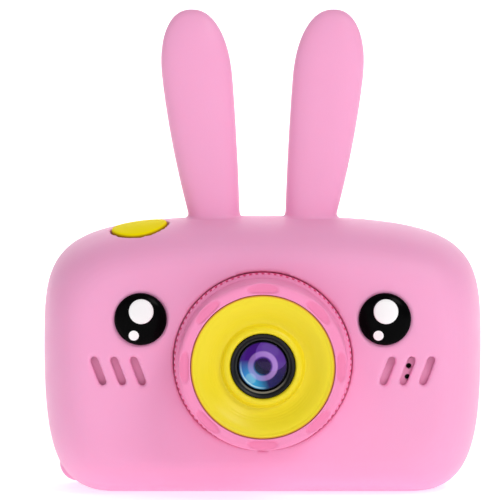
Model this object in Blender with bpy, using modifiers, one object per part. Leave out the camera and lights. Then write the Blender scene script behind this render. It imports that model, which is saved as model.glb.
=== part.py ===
"""Kids digital camera in a rabbit-eared silicone sleeve, as separate named solids.

Frame: +Z up, the lens looks along -Y, and the origin is the centre of the flat base under the
body's mid-plane. Everything is in metres.

The sleeve, the casing inside it and the casing's hollow are one pillow shape at growing insets, so
they nest at any size. What sits on the lens axis is turned, and the rest are plates and boxes.
"""

import math

import bmesh
import bpy
from mathutils import Matrix, Vector
from mathutils.geometry import interpolate_bezier

MM = 0.001
FIT = 0.3 * MM  # the gap between pieces that touch

# Body, measured over the sleeve
BODY_WIDTH = 95.0 * MM
BODY_HEIGHT = 59.3 * MM
BODY_DEPTH = 35.0 * MM
WAIST_HEIGHT = 30.7 * MM  # where the body is widest
BASE_TRIM = 0.8 * MM  # cut off the rounded underside to leave a flat base
BASE_CORNER = 17.2 * MM  # from the side to where the base's corner curve starts
BASE_HALF = BODY_WIDTH / 2 - BASE_CORNER
SHOULDER_SHORT = 0.3 * MM
SHOULDER_REACH = BODY_WIDTH / 2 - SHOULDER_SHORT  # curve handles: top edge, side above the waist,
SIDE_RISE = 22.4 * MM
SIDE_FALL = 25.1 * MM  # side below it,
BASE_REACH = 13.4 * MM  # and base
FRONT_CROWN = 0.8 * MM  # how far the front face bulges
FRONT_ROUND = 10.5 * MM  # how far in the front edge's rounding reaches
REAR_ROUND = 8.0 * MM
FRONT_POWER = 2.1  # 2 is an ellipse, more is squarer
REAR_POWER = 2.5
OUTLINE_STEPS = 7  # points on each of the outline's four curves
FRONT_STEPS = 5
REAR_STEPS = 4

# Sleeve and casing
SLEEVE_WALL = 2.0 * MM
SLEEVE_LIP = 9.0 * MM  # the rear opening's inset from the outline
CASE_WALL = 1.6 * MM
PARTING_Y = 2.0 * MM
PLATEAU_DROP = 0.6 * MM  # the rear panel lies this far below the lip
CASE_INSET = SLEEVE_WALL + FIT
HOLLOW_INSET = CASE_INSET + CASE_WALL

# Ears
EAR_RISE = 45.0 * MM
EAR_ROOT_X = 10.5 * MM
EAR_LEAN = 6.9 * MM  # how far out the tip's centre stands from the root's
EAR_CURL = 1.9 * MM  # how far that lean bends back
EAR_ROOT_WIDTH = 11.1 * MM
EAR_SWELL = 4.3 * MM  # the widest section is this much wider than the root
EAR_TIP_START = 0.62  # share of the height where the tip starts to close
EAR_TIP_POWER = 2.3
EAR_ROOT_DEPTH = 9.0 * MM
EAR_TIP_DEPTH = 7.0 * MM
EAR_POWER = 2.5
EAR_SIDES = 16
EAR_ROWS = 9
EAR_Y = 1.0 * MM  # behind the body's mid-plane

# Strap loop on the lower corner
LOOP_RADIUS = 4.0 * MM
LOOP_X = -40.4 * MM
LOOP_Z = 5.0 * MM
LOOP_Y = 6.0 * MM
LOOP_WIDTH = 8.0 * MM
STRAP_HOLE = 1.15 * MM
STRAP_HOLE_OUT = 1.35 * MM  # outwards from the loop's centre

# Lens group: radii, and distances forward of the body's mid-plane
LENS_HEIGHT = 29.6 * MM
RING_RADIUS = 17.8 * MM
RING_RIM = 2.4 * MM
RING_PROUD = 11.5 * MM  # how far the ring stands out of the sleeve
RING_FRONT = BODY_DEPTH / 2 + RING_PROUD
FLANGE_STEP = 1.2 * MM
RING_FLANGE = RING_RADIUS + FLANGE_STEP
FLANGE_RISE = 1.1 * MM
KNURL_TEETH = 90
KNURL_DEPTH = 0.35 * MM
GRIP_COUNT = 8
GRIP_LENGTH = 6.4 * MM
GRIP_WIDTH = 1.5 * MM
GRIP_DEPTH = 0.4 * MM
BEZEL_RADIUS = RING_RADIUS - RING_RIM - FIT
BEZEL_WALL = 1.3 * MM
BEZEL_SKIRT = 0.9 * MM
BEZEL_SHY = 0.1 * MM  # the dish's rim lies this far behind the ring's front
DISH_DEPTH = 2.8 * MM
CREST_SHY = 1.2 * MM  # the collar's crest lies this far behind the rim
TUBE_RADIUS = BEZEL_RADIUS - BEZEL_SKIRT - FIT
TUBE_WALL = 1.6 * MM
TUBE_SHY = 4.0 * MM  # the tube ends this far behind the ring's front
TUBE_FRONT = RING_FRONT - TUBE_SHY
SKIRT_LENGTH = 3.0 * MM
COLLAR_RADIUS = 8.6 * MM
GLASS_SEAT = 6.85 * MM  # the black retainer's outside
GLASS_RADIUS = 5.7 * MM
GLASS_SHY = 3.0 * MM  # the glass's edge lies this far behind the ring's front
GLASS_THICK = 1.0 * MM
GLASS_DOME = 0.9 * MM
BARREL_WALL = 2.4 * MM  # round the aperture, at the barrel's head
BARREL_HEAD = 2.0 * MM
THREAD_RADIUS = 3.9 * MM
THREAD_WALL = 1.3 * MM
APERTURE = 2.2 * MM
ELEMENT_WELL = 0.9 * MM  # how much wider than the aperture the front element's well is
ELEMENT_HEIGHT = 1.5 * MM
HOLDER_HALF = 5.5 * MM
HOLDER_BASE = 2.4 * MM
SENSOR_HALF = 3.0 * MM
SENSOR_THICK = 0.8 * MM
SENSOR_BOARD_THICK = 1.0 * MM
FILTER_THICK = 0.6 * MM
TURN_STEPS = 40
SMALL_TURN_STEPS = 20

# Eyes
EYE_BESIDE = 7.1 * MM  # from the ring's flange to the eye's centre, sideways
EYE_X = RING_FLANGE + EYE_BESIDE
EYE_RISE = 9.0 * MM
EYE_RADIUS = 5.6 * MM
EYE_DOME = 1.9 * MM
EYE_STEM = 2.4 * MM
EYE_SEAT = 0.6 * MM

# Cheek slots
SLOT_BESIDE = 7.7 * MM
SLOT_FIRST_X = RING_FLANGE + SLOT_BESIDE
SLOT_PITCH = 4.25 * MM
SLOT_DROP = 2.2 * MM
SLOT_LENGTH = 6.7 * MM
SLOT_WIDTH = 1.65 * MM
SLOT_LEAN = math.radians(21)
SLOTS = 3
SOUND_X = SLOT_FIRST_X + SLOT_PITCH + 0.35 * MM
SOUND_RADIUS = 0.62 * MM
SOUND_PITCH = 2.35 * MM
SOUND_SHIFT = 0.28 * MM  # each hole lies this much further in than the one above
SOUND_CENTRE = 0.55 * SOUND_PITCH  # the middle hole's drop below the lens axis

# Shutter button
SHUTTER_X = -26.7 * MM
SHUTTER_Y = -4.4 * MM
SHUTTER_RADIUS = 6.1 * MM
SHUTTER_PROUD = 0.25 * MM
SHUTTER_TRAVEL = 0.8 * MM
SHUTTER_FLANGE = 0.9 * MM  # wider than its hole, all round
SHUTTER_FLANGE_THICK = 1.1 * MM
SHUTTER_POST_RADIUS = 1.6 * MM
SHUTTER_POST_LENGTH = 1.8 * MM
SHUTTER_SWITCH_SIDE = 6.0 * MM
SHUTTER_SWITCH_HEIGHT = 3.2 * MM
SHUTTER_BOARD_LENGTH = 14.4 * MM
SHUTTER_BOARD_WIDTH = 8.4 * MM

# Screen and keys
SCREEN_X = 8.0 * MM
SCREEN_WIDTH = 44.0 * MM
SCREEN_HEIGHT = 32.0 * MM
SCREEN_THICK = 2.0 * MM
WINDOW_WIDTH = 43.0 * MM
WINDOW_HEIGHT = 31.4 * MM
WINDOW_THICK = 0.9 * MM
WINDOW_BORDER = 1.6 * MM
KEY_RADIUS = 2.7 * MM
SMALL_KEY_RADIUS = 2.2 * MM
KEY_PROUD = 0.45 * MM
KEY_TRAVEL = 0.5 * MM
KEY_FLANGE = 0.5 * MM  # wider than the cap, all round
KEY_WEB = 0.4 * MM  # the casing left between two keys' pockets
KEY_PITCH = 2 * (KEY_RADIUS + KEY_FLANGE + FIT) + KEY_WEB
SMALL_KEY_RISE = KEY_PITCH + KEY_RADIUS + SMALL_KEY_RADIUS + 2 * (KEY_FLANGE + FIT) + KEY_WEB
KEYS_X = SCREEN_X - WINDOW_WIDTH / 2 - KEY_PITCH - KEY_RADIUS - 4 * KEY_WEB
KEY_FLANGE_THICK = 1.0 * MM
SWITCH_SIDE = 4.4 * MM
SWITCH_THICK = 0.6 * MM

# Boards and what they carry
BOARD_THICK = 1.2 * MM
BOARD_DROP = 7.7 * MM  # from the back of the sleeve to the board
BOARD_REAR_Y = BODY_DEPTH / 2 - BOARD_DROP
BOARD_MARGIN = 0.6 * MM  # from the casing and from the screw bosses
BOARD_WING = 13.5 * MM  # half the height of the board's wide part
BOARD_HALF = 18.0 * MM
BOARD_SHOULDER = 1.5 * MM
PORT_Z = 36.5 * MM
CARD_Z = 24.5 * MM
PORT_WIDTH = 7.5 * MM
PORT_THICK = 2.6 * MM
PORT_LENGTH = 5.6 * MM
SOCKET_WIDTH = 14.0 * MM
SOCKET_LENGTH = 15.0 * MM
SOCKET_THICK = 1.9 * MM
CARD_WIDTH = 11.0 * MM
CARD_LENGTH = 15.0 * MM
CARD_THICK = 0.7 * MM
CARD_GRIP = 0.8 * MM  # how far the card stands out of its socket
PORT_WINDOW_LENGTH = 30.0 * MM
PORT_WINDOW_WIDTH = 8.0 * MM
BATTERY_SIZE = (42.0 * MM, 5.0 * MM, 28.0 * MM)
LEAD_PITCH = 1.5 * MM
SPEAKER_RADIUS = 7.0 * MM
SPEAKER_THICK = 3.2 * MM
SPEAKER_GAP = 2.2 * MM  # behind the casing, filled by the foam ring
FOAM_RADIUS = 5.0 * MM
FOAM_WALL = 1.2 * MM
CHIP_THICK = 1.0 * MM
PROCESSOR_SIDE = 10.0 * MM
PROCESSOR_X = -22.0 * MM
PROCESSOR_RISE = 1.0 * MM  # from the lens axis to the chip's middle
MEMORY_WIDTH = 8.0 * MM
MEMORY_HEIGHT = 6.0 * MM
MEMORY_X = -23.0 * MM
MEMORY_DROP = 9.0 * MM
BATTERY_X = 7.0 * MM
LEAD_RISE = 9.0 * MM  # from the lens axis to where the leads leave the battery
LEAD_RADIUS = 0.5 * MM
LEAD_BEND = 8.0 * MM
PLUG_X = -11.5 * MM
PLUG_WIDTH = 5.0 * MM
PLUG_HEIGHT = 3.0 * MM
MICROPHONE_X = -33.0 * MM
MICROPHONE_DROP = 9.0 * MM
MICROPHONE_RADIUS = 2.0 * MM
MICROPHONE_THICK = 1.6 * MM
FLEX_THICK = 0.2 * MM
SENSOR_FLEX_WIDTH = 7.0 * MM
LCD_FLEX_WIDTH = 16.0 * MM

# Screws
SCREW_FROM_SIDE = 10.5 * MM
SCREW_X = BODY_WIDTH / 2 - SCREW_FROM_SIDE
SCREW_RISE = 18.0 * MM
BOSS_RADIUS = 2.6 * MM
SHANK_RADIUS = 0.95 * MM
SCREW_HEAD_RADIUS = 1.8 * MM
SCREW_SEAT_Y = BODY_DEPTH / 2 - 6.9 * MM
SCREW_HEAD_THICK = 1.4 * MM
SCREW_TIP_Y = -5.0 * MM
BOARD_SCREW_INSET = 3.4 * MM  # from the board's side edge to its left screw
BOARD_SCREW_X = 35.0 * MM
BOARD_SCREW_RISE = 11.0 * MM
BOARD_SCREW_BITE = 2.4 * MM
BOARD_POST_RADIUS = 1.9 * MM

PINK_SILICONE = ("pink_silicone", (0.93, 0.42, 0.63), 0.5, 0.0)
PINK_SHELL = ("pink_shell", (0.92, 0.36, 0.58), 0.4, 0.0)
RING_PINK = ("ring_pink", (0.95, 0.36, 0.60), 0.35, 0.0)
YELLOW = ("yellow_plastic", (0.93, 0.78, 0.06), 0.3, 0.0)
GLOSS_BLACK = ("gloss_black", (0.01, 0.01, 0.012), 0.12, 0.0)
MATT_BLACK = ("matt_black", (0.02, 0.02, 0.022), 0.5, 0.0)
CLEAR_GLASS = ("clear_glass", (0.75, 0.78, 0.9), 0.05, 0.0)
FILTER_GLASS = ("filter_glass", (0.4, 0.7, 0.75), 0.05, 0.0)
BOARD_GREEN = ("board_green", (0.02, 0.2, 0.08), 0.45, 0.0)
CHIP_BLACK = ("chip_black", (0.03, 0.03, 0.035), 0.55, 0.0)
STEEL = ("bright_steel", (0.7, 0.7, 0.72), 0.3, 1.0)
FOIL = ("battery_foil", (0.72, 0.74, 0.78), 0.35, 0.6)
AMBER_FLEX = ("amber_flex", (0.75, 0.38, 0.06), 0.4, 0.0)
FOAM = ("grey_foam", (0.16, 0.16, 0.17), 0.9, 0.0)
SCREEN_BLACK = ("screen_black", (0.015, 0.015, 0.02), 0.1, 0.0)
NYLON = ("white_nylon", (0.85, 0.84, 0.8), 0.5, 0.0)
LEAD_RED = ("lead_red", (0.7, 0.03, 0.03), 0.45, 0.0)
LEAD_BLACK = ("lead_black", (0.02, 0.02, 0.02), 0.45, 0.0)

FORWARD = Matrix.Rotation(math.pi / 2, 4, "X")  # turns local +Z to look along -Y


# Scene helpers


def clear_scene():
    """Removes every object that is there."""
    for obj in list(bpy.data.objects):
        bpy.data.objects.remove(obj, do_unlink=True)


def collection(name):
    """The named collection, made and linked if it isn't there."""
    found = bpy.data.collections.get(name)
    if found is None:
        found = bpy.data.collections.new(name)
        bpy.context.scene.collection.children.link(found)
    return found


def material(finish):
    """The Principled material of a finish: its name, colour, roughness and metallic value."""
    name, colour, roughness, metallic = finish
    made = bpy.data.materials.get(name)
    if made is None:
        made = bpy.data.materials.new(name)
        made.use_nodes = True
        shader = made.node_tree.nodes["Principled BSDF"]
        shader.inputs["Base Color"].default_value = (*colour, 1.0)
        shader.inputs["Roughness"].default_value = roughness
        shader.inputs["Metallic"].default_value = metallic
        made.diffuse_color = (*colour, 1.0)
    return made


def add_object(name, data, finish=None):
    """A piece of the camera, or a cutter where it has no finish."""
    obj = bpy.data.objects.new(name, data)
    if finish is None:
        collection("cutters").objects.link(obj)
        obj.hide_render = True
        obj.display_type = "WIRE"
    else:
        collection("kids_camera").objects.link(obj)
        data.materials.append(material(finish))
    return obj


def object_from_bmesh(name, bm, finish):
    """Turns a bmesh into an object, shaded smooth up to 35 degrees."""
    bmesh.ops.recalc_face_normals(bm, faces=bm.faces)
    mesh = bpy.data.meshes.new(name)
    bm.to_mesh(mesh)
    bm.free()
    mesh.shade_smooth()
    mesh.set_sharp_from_angle(angle=math.radians(35))
    return add_object(name, mesh, finish)


def boolean(target, other, operation):
    """Cuts other from target, or joins it on."""
    modifier = target.modifiers.new(f"{operation.lower()}_{other.name}", "BOOLEAN")
    modifier.operation = operation
    modifier.object = other
    if operation != "DIFFERENCE":
        other.hide_render = True
        other.display_type = "WIRE"
    return target


def cut(target, *others):
    """Cuts each of the others from target."""
    for other in others:
        boolean(target, other, "DIFFERENCE")
    return target


def join(target, *others):
    """Joins each of the others onto target."""
    for other in others:
        boolean(target, other, "UNION")
    return target


# Primitives


def block(name, low, high, finish=None, frame=None):
    """A box between two corners, in the frame given."""
    low, high = Vector(low), Vector(high)
    bm = bmesh.new()
    bmesh.ops.create_cube(bm, size=1.0)
    bmesh.ops.scale(bm, vec=high - low, verts=bm.verts)
    bmesh.ops.translate(bm, vec=(low + high) / 2, verts=bm.verts)
    obj = object_from_bmesh(name, bm, finish)
    obj.matrix_world = frame or Matrix()
    return obj


def rod(name, radius, start, end, finish=None, frame=None, steps=SMALL_TURN_STEPS):
    """A cylinder between two points, in the frame given."""
    start, end = Vector(start), Vector(end)
    along = end - start
    bm = bmesh.new()
    bmesh.ops.create_cone(
        bm, cap_ends=True, segments=steps, radius1=radius, radius2=radius, depth=along.length
    )
    turn = along.to_track_quat("Z", "Y").to_matrix()
    bmesh.ops.rotate(bm, matrix=turn, verts=bm.verts)
    bmesh.ops.translate(bm, vec=(start + end) / 2, verts=bm.verts)
    obj = object_from_bmesh(name, bm, finish)
    obj.matrix_world = frame or Matrix()
    return obj


def turned(name, profile, finish=None, frame=None, steps=TURN_STEPS):
    """Turns a profile of (radius, forward) about the lens axis.

    The profile runs from the front down the outside. One that starts and ends on the axis is left
    open, and any other is closed.
    """
    solid = profile[0][0] == 0 and profile[-1][0] == 0
    bm = bmesh.new()
    points = [bm.verts.new((radius, 0, forward)) for radius, forward in profile]
    pairs = list(zip(points, points[1:]))
    if not solid:
        pairs.append((points[-1], points[0]))
    for pair in pairs:
        bm.edges.new(pair)
    mesh = bpy.data.meshes.new(name)
    bm.to_mesh(mesh)
    bm.free()
    obj = add_object(name, mesh, finish)
    screw = obj.modifiers.new("turn", "SCREW")
    screw.steps = screw.render_steps = steps
    screw.use_merge_vertices = True
    screw.merge_threshold = 0.00001
    obj.matrix_world = frame or lens_frame()
    return obj


def plate(name, outline, y_front, y_rear, finish=None):
    """A flat piece: an outline of (x, z) points between two depths, made a mesh."""
    curve = bpy.data.curves.new(name, "CURVE")
    curve.dimensions = "2D"
    curve.fill_mode = "BOTH"
    curve.extrude = (y_rear - y_front) / 2
    spline = curve.splines.new("POLY")
    spline.points.add(len(outline) - 1)
    for point, (x, z) in zip(spline.points, outline):
        point.co = (x, z, 0, 1)
    spline.use_cyclic_u = True
    guide = bpy.data.objects.new(name + "_outline", curve)
    collection("cutters").objects.link(guide)
    guide.matrix_world = Matrix.Translation((0, (y_front + y_rear) / 2, 0)) @ FORWARD
    bpy.context.view_layer.update()
    seen = guide.evaluated_get(bpy.context.evaluated_depsgraph_get())
    bm = bmesh.new()
    bm.from_mesh(bpy.data.meshes.new_from_object(seen))
    bmesh.ops.remove_doubles(bm, verts=bm.verts, dist=0.000001)
    obj = object_from_bmesh(name, bm, finish)
    obj.matrix_world = guide.matrix_world.copy()
    bpy.data.objects.remove(guide)
    return obj


def rounded_rectangle(width, height, radius, centre=(0, 0), steps=4):
    """The (x, z) points of a rectangle with round corners."""
    points = []
    for corner in range(4):
        across = (width / 2 - radius) * (1 if corner in (0, 3) else -1)
        up = (height / 2 - radius) * (1 if corner in (0, 1) else -1)
        for step in range(steps + 1):
            angle = math.radians(90 * (corner + step / steps))
            points.append(
                (
                    centre[0] + across + radius * math.cos(angle),
                    centre[1] + up + radius * math.sin(angle),
                )
            )
    return points


def slot_outline(length, width, lean, centre, steps=6):
    """The (x, z) points of a slot with round ends that leans from upright."""
    along = Vector((math.sin(lean), math.cos(lean)))
    points = []
    for end in (1, -1):
        middle = Vector(centre) + along * end * (length - width) / 2
        for step in range(steps + 1):
            angle = math.pi * (step / steps) - lean + (0 if end > 0 else math.pi)
            points.append(tuple(middle + Vector((math.cos(angle), math.sin(angle))) * width / 2))
    return points


# The pillow shape that the sleeve, the casing and the hollow share


def outline(inset):
    """The body's outline from the front, brought in by inset, as (x, z) points."""
    side, top, base = BODY_WIDTH / 2, BODY_HEIGHT, -BASE_TRIM
    upper = interpolate_bezier(
        (side, WAIST_HEIGHT),
        (side, WAIST_HEIGHT + SIDE_RISE),
        (SHOULDER_REACH, top),
        (0, top),
        OUTLINE_STEPS + 1,
    )
    lower = interpolate_bezier(
        (BASE_HALF, base),
        (BASE_HALF + BASE_REACH, base),
        (side, WAIST_HEIGHT - SIDE_FALL),
        (side, WAIST_HEIGHT),
        OUTLINE_STEPS + 1,
    )
    right = [tuple(point[:2]) for point in lower[:-1] + upper]
    left = [(-x, z) for x, z in reversed(right[:-1])]
    across = (side - inset) / side
    above = (top - WAIST_HEIGHT - inset) / (top - WAIST_HEIGHT)
    below = (WAIST_HEIGHT - base - inset) / (WAIST_HEIGHT - base)
    return [
        (x * across, WAIST_HEIGHT + (z - WAIST_HEIGHT) * (above if z > WAIST_HEIGHT else below))
        for x, z in right + left
    ]


def edge_rings(inset):
    """The (inset, y) of each ring round the pillow's edge, from the front face to the rear."""
    front = BODY_DEPTH / 2 - FRONT_CROWN - inset
    rear = BODY_DEPTH / 2 - inset
    rings = []
    for step in range(1, FRONT_STEPS + 1):
        angle = math.pi / 2 * (step - 0.6) / (FRONT_STEPS - 0.6)
        reach = math.sin(angle) ** (2 / FRONT_POWER)
        depth = math.cos(angle) ** (2 / FRONT_POWER)
        rings.append((inset + (FRONT_ROUND - inset) * (1 - reach), -front * max(depth, 0)))
    for step in range(1, REAR_STEPS + 1):
        angle = math.pi / 2 * step / REAR_STEPS
        reach = max(math.cos(angle), 0) ** (2 / REAR_POWER)
        depth = math.sin(angle) ** (2 / REAR_POWER)
        rings.append((inset + (REAR_ROUND - inset) * (1 - reach), rear * depth))
    return rings


def ring_points(ring_inset, y, floor):
    """One ring of the pillow, trimmed flat at the floor."""
    return [Vector((x, y, max(z, floor))) for x, z in outline(ring_inset)]


def face_share(x, z):
    """Where a point lies on the front face: 0 at the lens axis, 1 where the edge starts."""
    centre = Vector((0, LENS_HEIGHT))
    edge = [Vector(point) - centre for point in outline(FRONT_ROUND)]
    point = Vector((x, z)) - centre
    share = 0.0
    for first, second in zip(edge, edge[1:] + edge[:1]):
        across = first.cross(second)
        along, beyond = point.cross(second) / across, first.cross(point) / across
        if along >= 0 and beyond >= 0:
            share = max(share, along + beyond)
    return share


def front_y(x, z, inset):
    """The depth of a nested front face at a point on it."""
    return -(BODY_DEPTH / 2 - inset) + FRONT_CROWN * face_share(x, z) ** 2


def pillow(name, inset, finish=None):
    """The body's shape brought in by inset: rings round the edge, a crowned front, a flat rear."""
    centre = Vector((0, 0, LENS_HEIGHT))
    edge = edge_rings(inset)
    face = ring_points(*edge[0], inset)
    rings = []
    for share in (0.5, 0.85):
        ring = [centre + (point - centre) * share for point in face]
        for point in ring:
            point.y = -(BODY_DEPTH / 2 - inset) + FRONT_CROWN * share**2
        rings.append(ring)
    rings += [ring_points(ring_inset, y, inset) for ring_inset, y in edge]
    bm = bmesh.new()
    rows = [[bm.verts.new(point) for point in ring] for ring in rings]
    pole = bm.verts.new((0, -(BODY_DEPTH / 2 - inset), LENS_HEIGHT))
    count = len(face)
    for index in range(count):
        following = (index + 1) % count
        bm.faces.new((pole, rows[0][index], rows[0][following]))
        for outer, inner in zip(rows, rows[1:]):
            bm.faces.new((outer[following], outer[index], inner[index], inner[following]))
    bm.faces.new(rows[-1])
    return object_from_bmesh(name, bm, finish)


def lens_frame():
    """The frame at the lens axis on the body's mid-plane, +Z forward."""
    return Matrix.Translation((0, 0, LENS_HEIGHT)) @ FORWARD


def edge_inset(y, inset):
    """How far in the edge's rounding has brought a nested outline at depth y."""
    if y < 0:
        share, power, reach = y / (FRONT_CROWN + inset - BODY_DEPTH / 2), FRONT_POWER, FRONT_ROUND
    else:
        share, power, reach = y / (BODY_DEPTH / 2 - inset), REAR_POWER, REAR_ROUND
    return inset + (reach - inset) * (1 - (1 - share**power) ** (1 / power))


def between(points, place):
    """Reads a line of sorted (place, value) points at a place."""
    for (place0, value0), (place1, value1) in zip(points, points[1:]):
        if place0 <= place <= place1:
            return value0 + (value1 - value0) * (place - place0) / (place1 - place0)
    raise ValueError(f"{place} is off the outline")


def top_surface(x, y, inset=0):
    """The height of a nested body's top at a place on it."""
    return between(sorted(p for p in outline(edge_inset(y, inset)) if p[1] > WAIST_HEIGHT), x)


def side_surface(z, y, inset=0):
    """The half-width of a nested body at a height and a depth."""
    return between(sorted((h, x) for x, h in outline(edge_inset(y, inset)) if x > 0), z)


def shutter_frame():
    """The frame on the sleeve's top under the finger, +Z outwards."""
    step = SHUTTER_RADIUS / 2
    rise_x = top_surface(SHUTTER_X + step, SHUTTER_Y) - top_surface(SHUTTER_X - step, SHUTTER_Y)
    rise_y = top_surface(SHUTTER_X, SHUTTER_Y + step) - top_surface(SHUTTER_X, SHUTTER_Y - step)
    normal = Vector((-rise_x / (2 * step), -rise_y / (2 * step), 1)).normalized()
    place = Vector((SHUTTER_X, SHUTTER_Y, top_surface(SHUTTER_X, SHUTTER_Y)))
    return Matrix.Translation(place) @ normal.to_track_quat("Z", "Y").to_matrix().to_4x4()


# Sleeve


def ear(name, side):
    """One ear: a stack of rounded sections that lean out and close at the tip."""
    root = BODY_HEIGHT - SLEEVE_WALL
    bm = bmesh.new()
    rows = []
    for row in range(EAR_ROWS):
        share = math.sin(math.pi / 2 * row / EAR_ROWS)
        width = EAR_ROOT_WIDTH + EAR_SWELL * math.sin(min(share / EAR_TIP_START, 1) * math.pi / 2)
        closing = max(share - EAR_TIP_START, 0) / (1 - EAR_TIP_START)
        close = (1 - closing**EAR_TIP_POWER) ** (1 / EAR_TIP_POWER)
        depth = EAR_ROOT_DEPTH + (EAR_TIP_DEPTH - EAR_ROOT_DEPTH) * share
        middle = EAR_ROOT_X + EAR_LEAN * share - EAR_CURL * share**2
        ring = []
        for step in range(EAR_SIDES):
            angle = 2 * math.pi * step / EAR_SIDES
            across = math.copysign(abs(math.cos(angle)) ** (2 / EAR_POWER), math.cos(angle))
            through = math.copysign(abs(math.sin(angle)) ** (2 / EAR_POWER), math.sin(angle))
            ring.append(
                bm.verts.new(
                    (
                        side * (middle + across * close * width / 2),
                        EAR_Y + through * close * depth / 2,
                        root + (EAR_RISE + SLEEVE_WALL) * share,
                    )
                )
            )
        rows.append(ring)
    tip = bm.verts.new((side * (EAR_ROOT_X + EAR_LEAN - EAR_CURL), EAR_Y, root + EAR_RISE + SLEEVE_WALL))
    for step in range(EAR_SIDES):
        following = (step + 1) % EAR_SIDES
        for lower, upper in zip(rows, rows[1:]):
            bm.faces.new((lower[step], lower[following], upper[following], upper[step]))
        bm.faces.new((rows[-1][step], rows[-1][following], tip))
    bm.faces.new(rows[0])
    return object_from_bmesh(name, bm, None)


def cheek_slots():
    """Cutters for the slanted slots under the eyes, whose tops lean outwards on both cheeks."""
    cutters = []
    for side in (-1, 1):
        for index in range(SLOTS):
            centre = (side * (SLOT_FIRST_X + index * SLOT_PITCH), LENS_HEIGHT - SLOT_DROP)
            shape = slot_outline(SLOT_LENGTH, SLOT_WIDTH, side * SLOT_LEAN, centre)
            name = f"slot_cutter_{'left' if side < 0 else 'right'}_{index}"
            cutters.append(plate(name, shape, -BODY_DEPTH, -BODY_DEPTH / 4))
    return cutters


def port_window():
    """Cutter for the sleeve's opening over the ports."""
    middle = (PORT_Z + CARD_Z) / 2
    y = BOARD_REAR_Y - BOARD_THICK - PORT_THICK / 2
    window = plate(
        "port_window_cutter",
        rounded_rectangle(PORT_WINDOW_WIDTH, PORT_WINDOW_LENGTH, PORT_WINDOW_WIDTH / 3, (0, middle)),
        -SLEEVE_WALL * 3,
        SLEEVE_WALL * 3,
    )
    window.matrix_world = (
        Matrix.Translation((BODY_WIDTH / 2, y, 0)) @ Matrix.Rotation(math.pi / 2, 4, "Z") @ FORWARD
    )
    return window


def sleeve():
    """The silicone sleeve: one moulding with its ears and its strap loop."""
    body = pillow("silicone_sleeve", 0, PINK_SILICONE)
    loop = rod(
        "strap_loop",
        LOOP_RADIUS,
        (LOOP_X, LOOP_Y - LOOP_WIDTH / 2, LOOP_Z),
        (LOOP_X, LOOP_Y + LOOP_WIDTH / 2, LOOP_Z),
    )
    join(body, ear("ear_left", -1), ear("ear_right", 1), loop)
    out = Vector((-1, 0, -1)).normalized()
    tangent = Vector((1, 0, -1)).normalized()
    middle = Vector((LOOP_X, LOOP_Y, LOOP_Z)) + out * STRAP_HOLE_OUT
    strap = rod(
        "strap_hole_cutter",
        STRAP_HOLE,
        middle - tangent * LOOP_RADIUS * 3,
        middle + tangent * LOOP_RADIUS * 3,
        steps=12,
    )
    opening = plate(
        "rear_opening_cutter", outline(SLEEVE_LIP), BODY_DEPTH / 2 - SLEEVE_WALL * 2, BODY_DEPTH
    )
    lens_hole = rod(
        "lens_hole_cutter",
        RING_FLANGE + FIT,
        (0, 0, BODY_DEPTH / 4),
        (0, 0, BODY_DEPTH),
        frame=lens_frame(),
        steps=TURN_STEPS,
    )
    shutter_hole = rod(
        "sleeve_shutter_cutter",
        SHUTTER_RADIUS + FIT,
        (0, 0, -SLEEVE_WALL * 4),
        (0, 0, SLEEVE_WALL * 4),
        frame=shutter_frame(),
        steps=TURN_STEPS // 2,
    )
    cut(body, pillow("sleeve_inside", SLEEVE_WALL), opening, lens_hole, shutter_hole, strap)
    cut(body, port_window(), *cheek_slots())
    for side, name in ((-1, "left"), (1, "right")):
        frame = eye_frame(side)
        cut(
            body,
            rod(f"eye_seat_{name}", EYE_RADIUS + FIT, (0, 0, 0), (0, 0, SLEEVE_WALL * 3), frame=frame),
            rod(
                f"eye_stem_hole_{name}",
                EYE_STEM + FIT,
                (0, 0, -SLEEVE_WALL * 2),
                (0, 0, SLEEVE_WALL),
                frame=frame,
                steps=16,
            ),
        )
    return body


# Eyes


def eye_frame(side):
    """The frame on the bottom of one eye's seat, +Z forward."""
    x, z = side * EYE_X, LENS_HEIGHT + EYE_RISE
    return Matrix.Translation((x, front_y(x, z, 0) + EYE_SEAT, z)) @ FORWARD


def eyes():
    """Two glossy domes, each with a stem that plugs through the sleeve."""
    for side, name in ((-1, "left"), (1, "right")):
        edge = EYE_SEAT * 0.9
        profile = [(0, EYE_SEAT + EYE_DOME)]
        for step in range(1, 6):
            angle = math.pi / 2 * step / 6
            profile.append((EYE_RADIUS * math.sin(angle), edge + EYE_DOME * math.cos(angle)))
        profile += [
            (EYE_RADIUS, edge),
            (EYE_RADIUS, FIT),
            (EYE_STEM, FIT),
            (EYE_STEM, -(SLEEVE_WALL - EYE_SEAT)),
            (0, -(SLEEVE_WALL - EYE_SEAT)),
        ]
        turned(f"eye_{name}", profile, GLOSS_BLACK, eye_frame(side), steps=32)


# Casing


def screw_places():
    """The name, x and z of each case screw."""
    for side, across in ((-1, "left"), (1, "right")):
        for rise, up in ((-1, "lower"), (1, "upper")):
            yield f"{up}_{across}", side * SCREW_X, LENS_HEIGHT + rise * SCREW_RISE


def hollow(name):
    """Cutter for the casing's inside, which leaves the screw bosses standing."""
    space = pillow(name, HOLLOW_INSET)
    for place, x, z in screw_places():
        boss = rod(
            f"{name}_boss_{place}",
            BOSS_RADIUS,
            (x, -BODY_DEPTH, z),
            (x, BODY_DEPTH, z),
            steps=16,
        )
        cut(space, boss)
    return space


def half_space(name, y_front, y_rear):
    """A block that takes one half of the casing away."""
    reach = BODY_WIDTH
    return block(name, (-reach, y_front, -reach), (reach, y_rear, reach))


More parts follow.
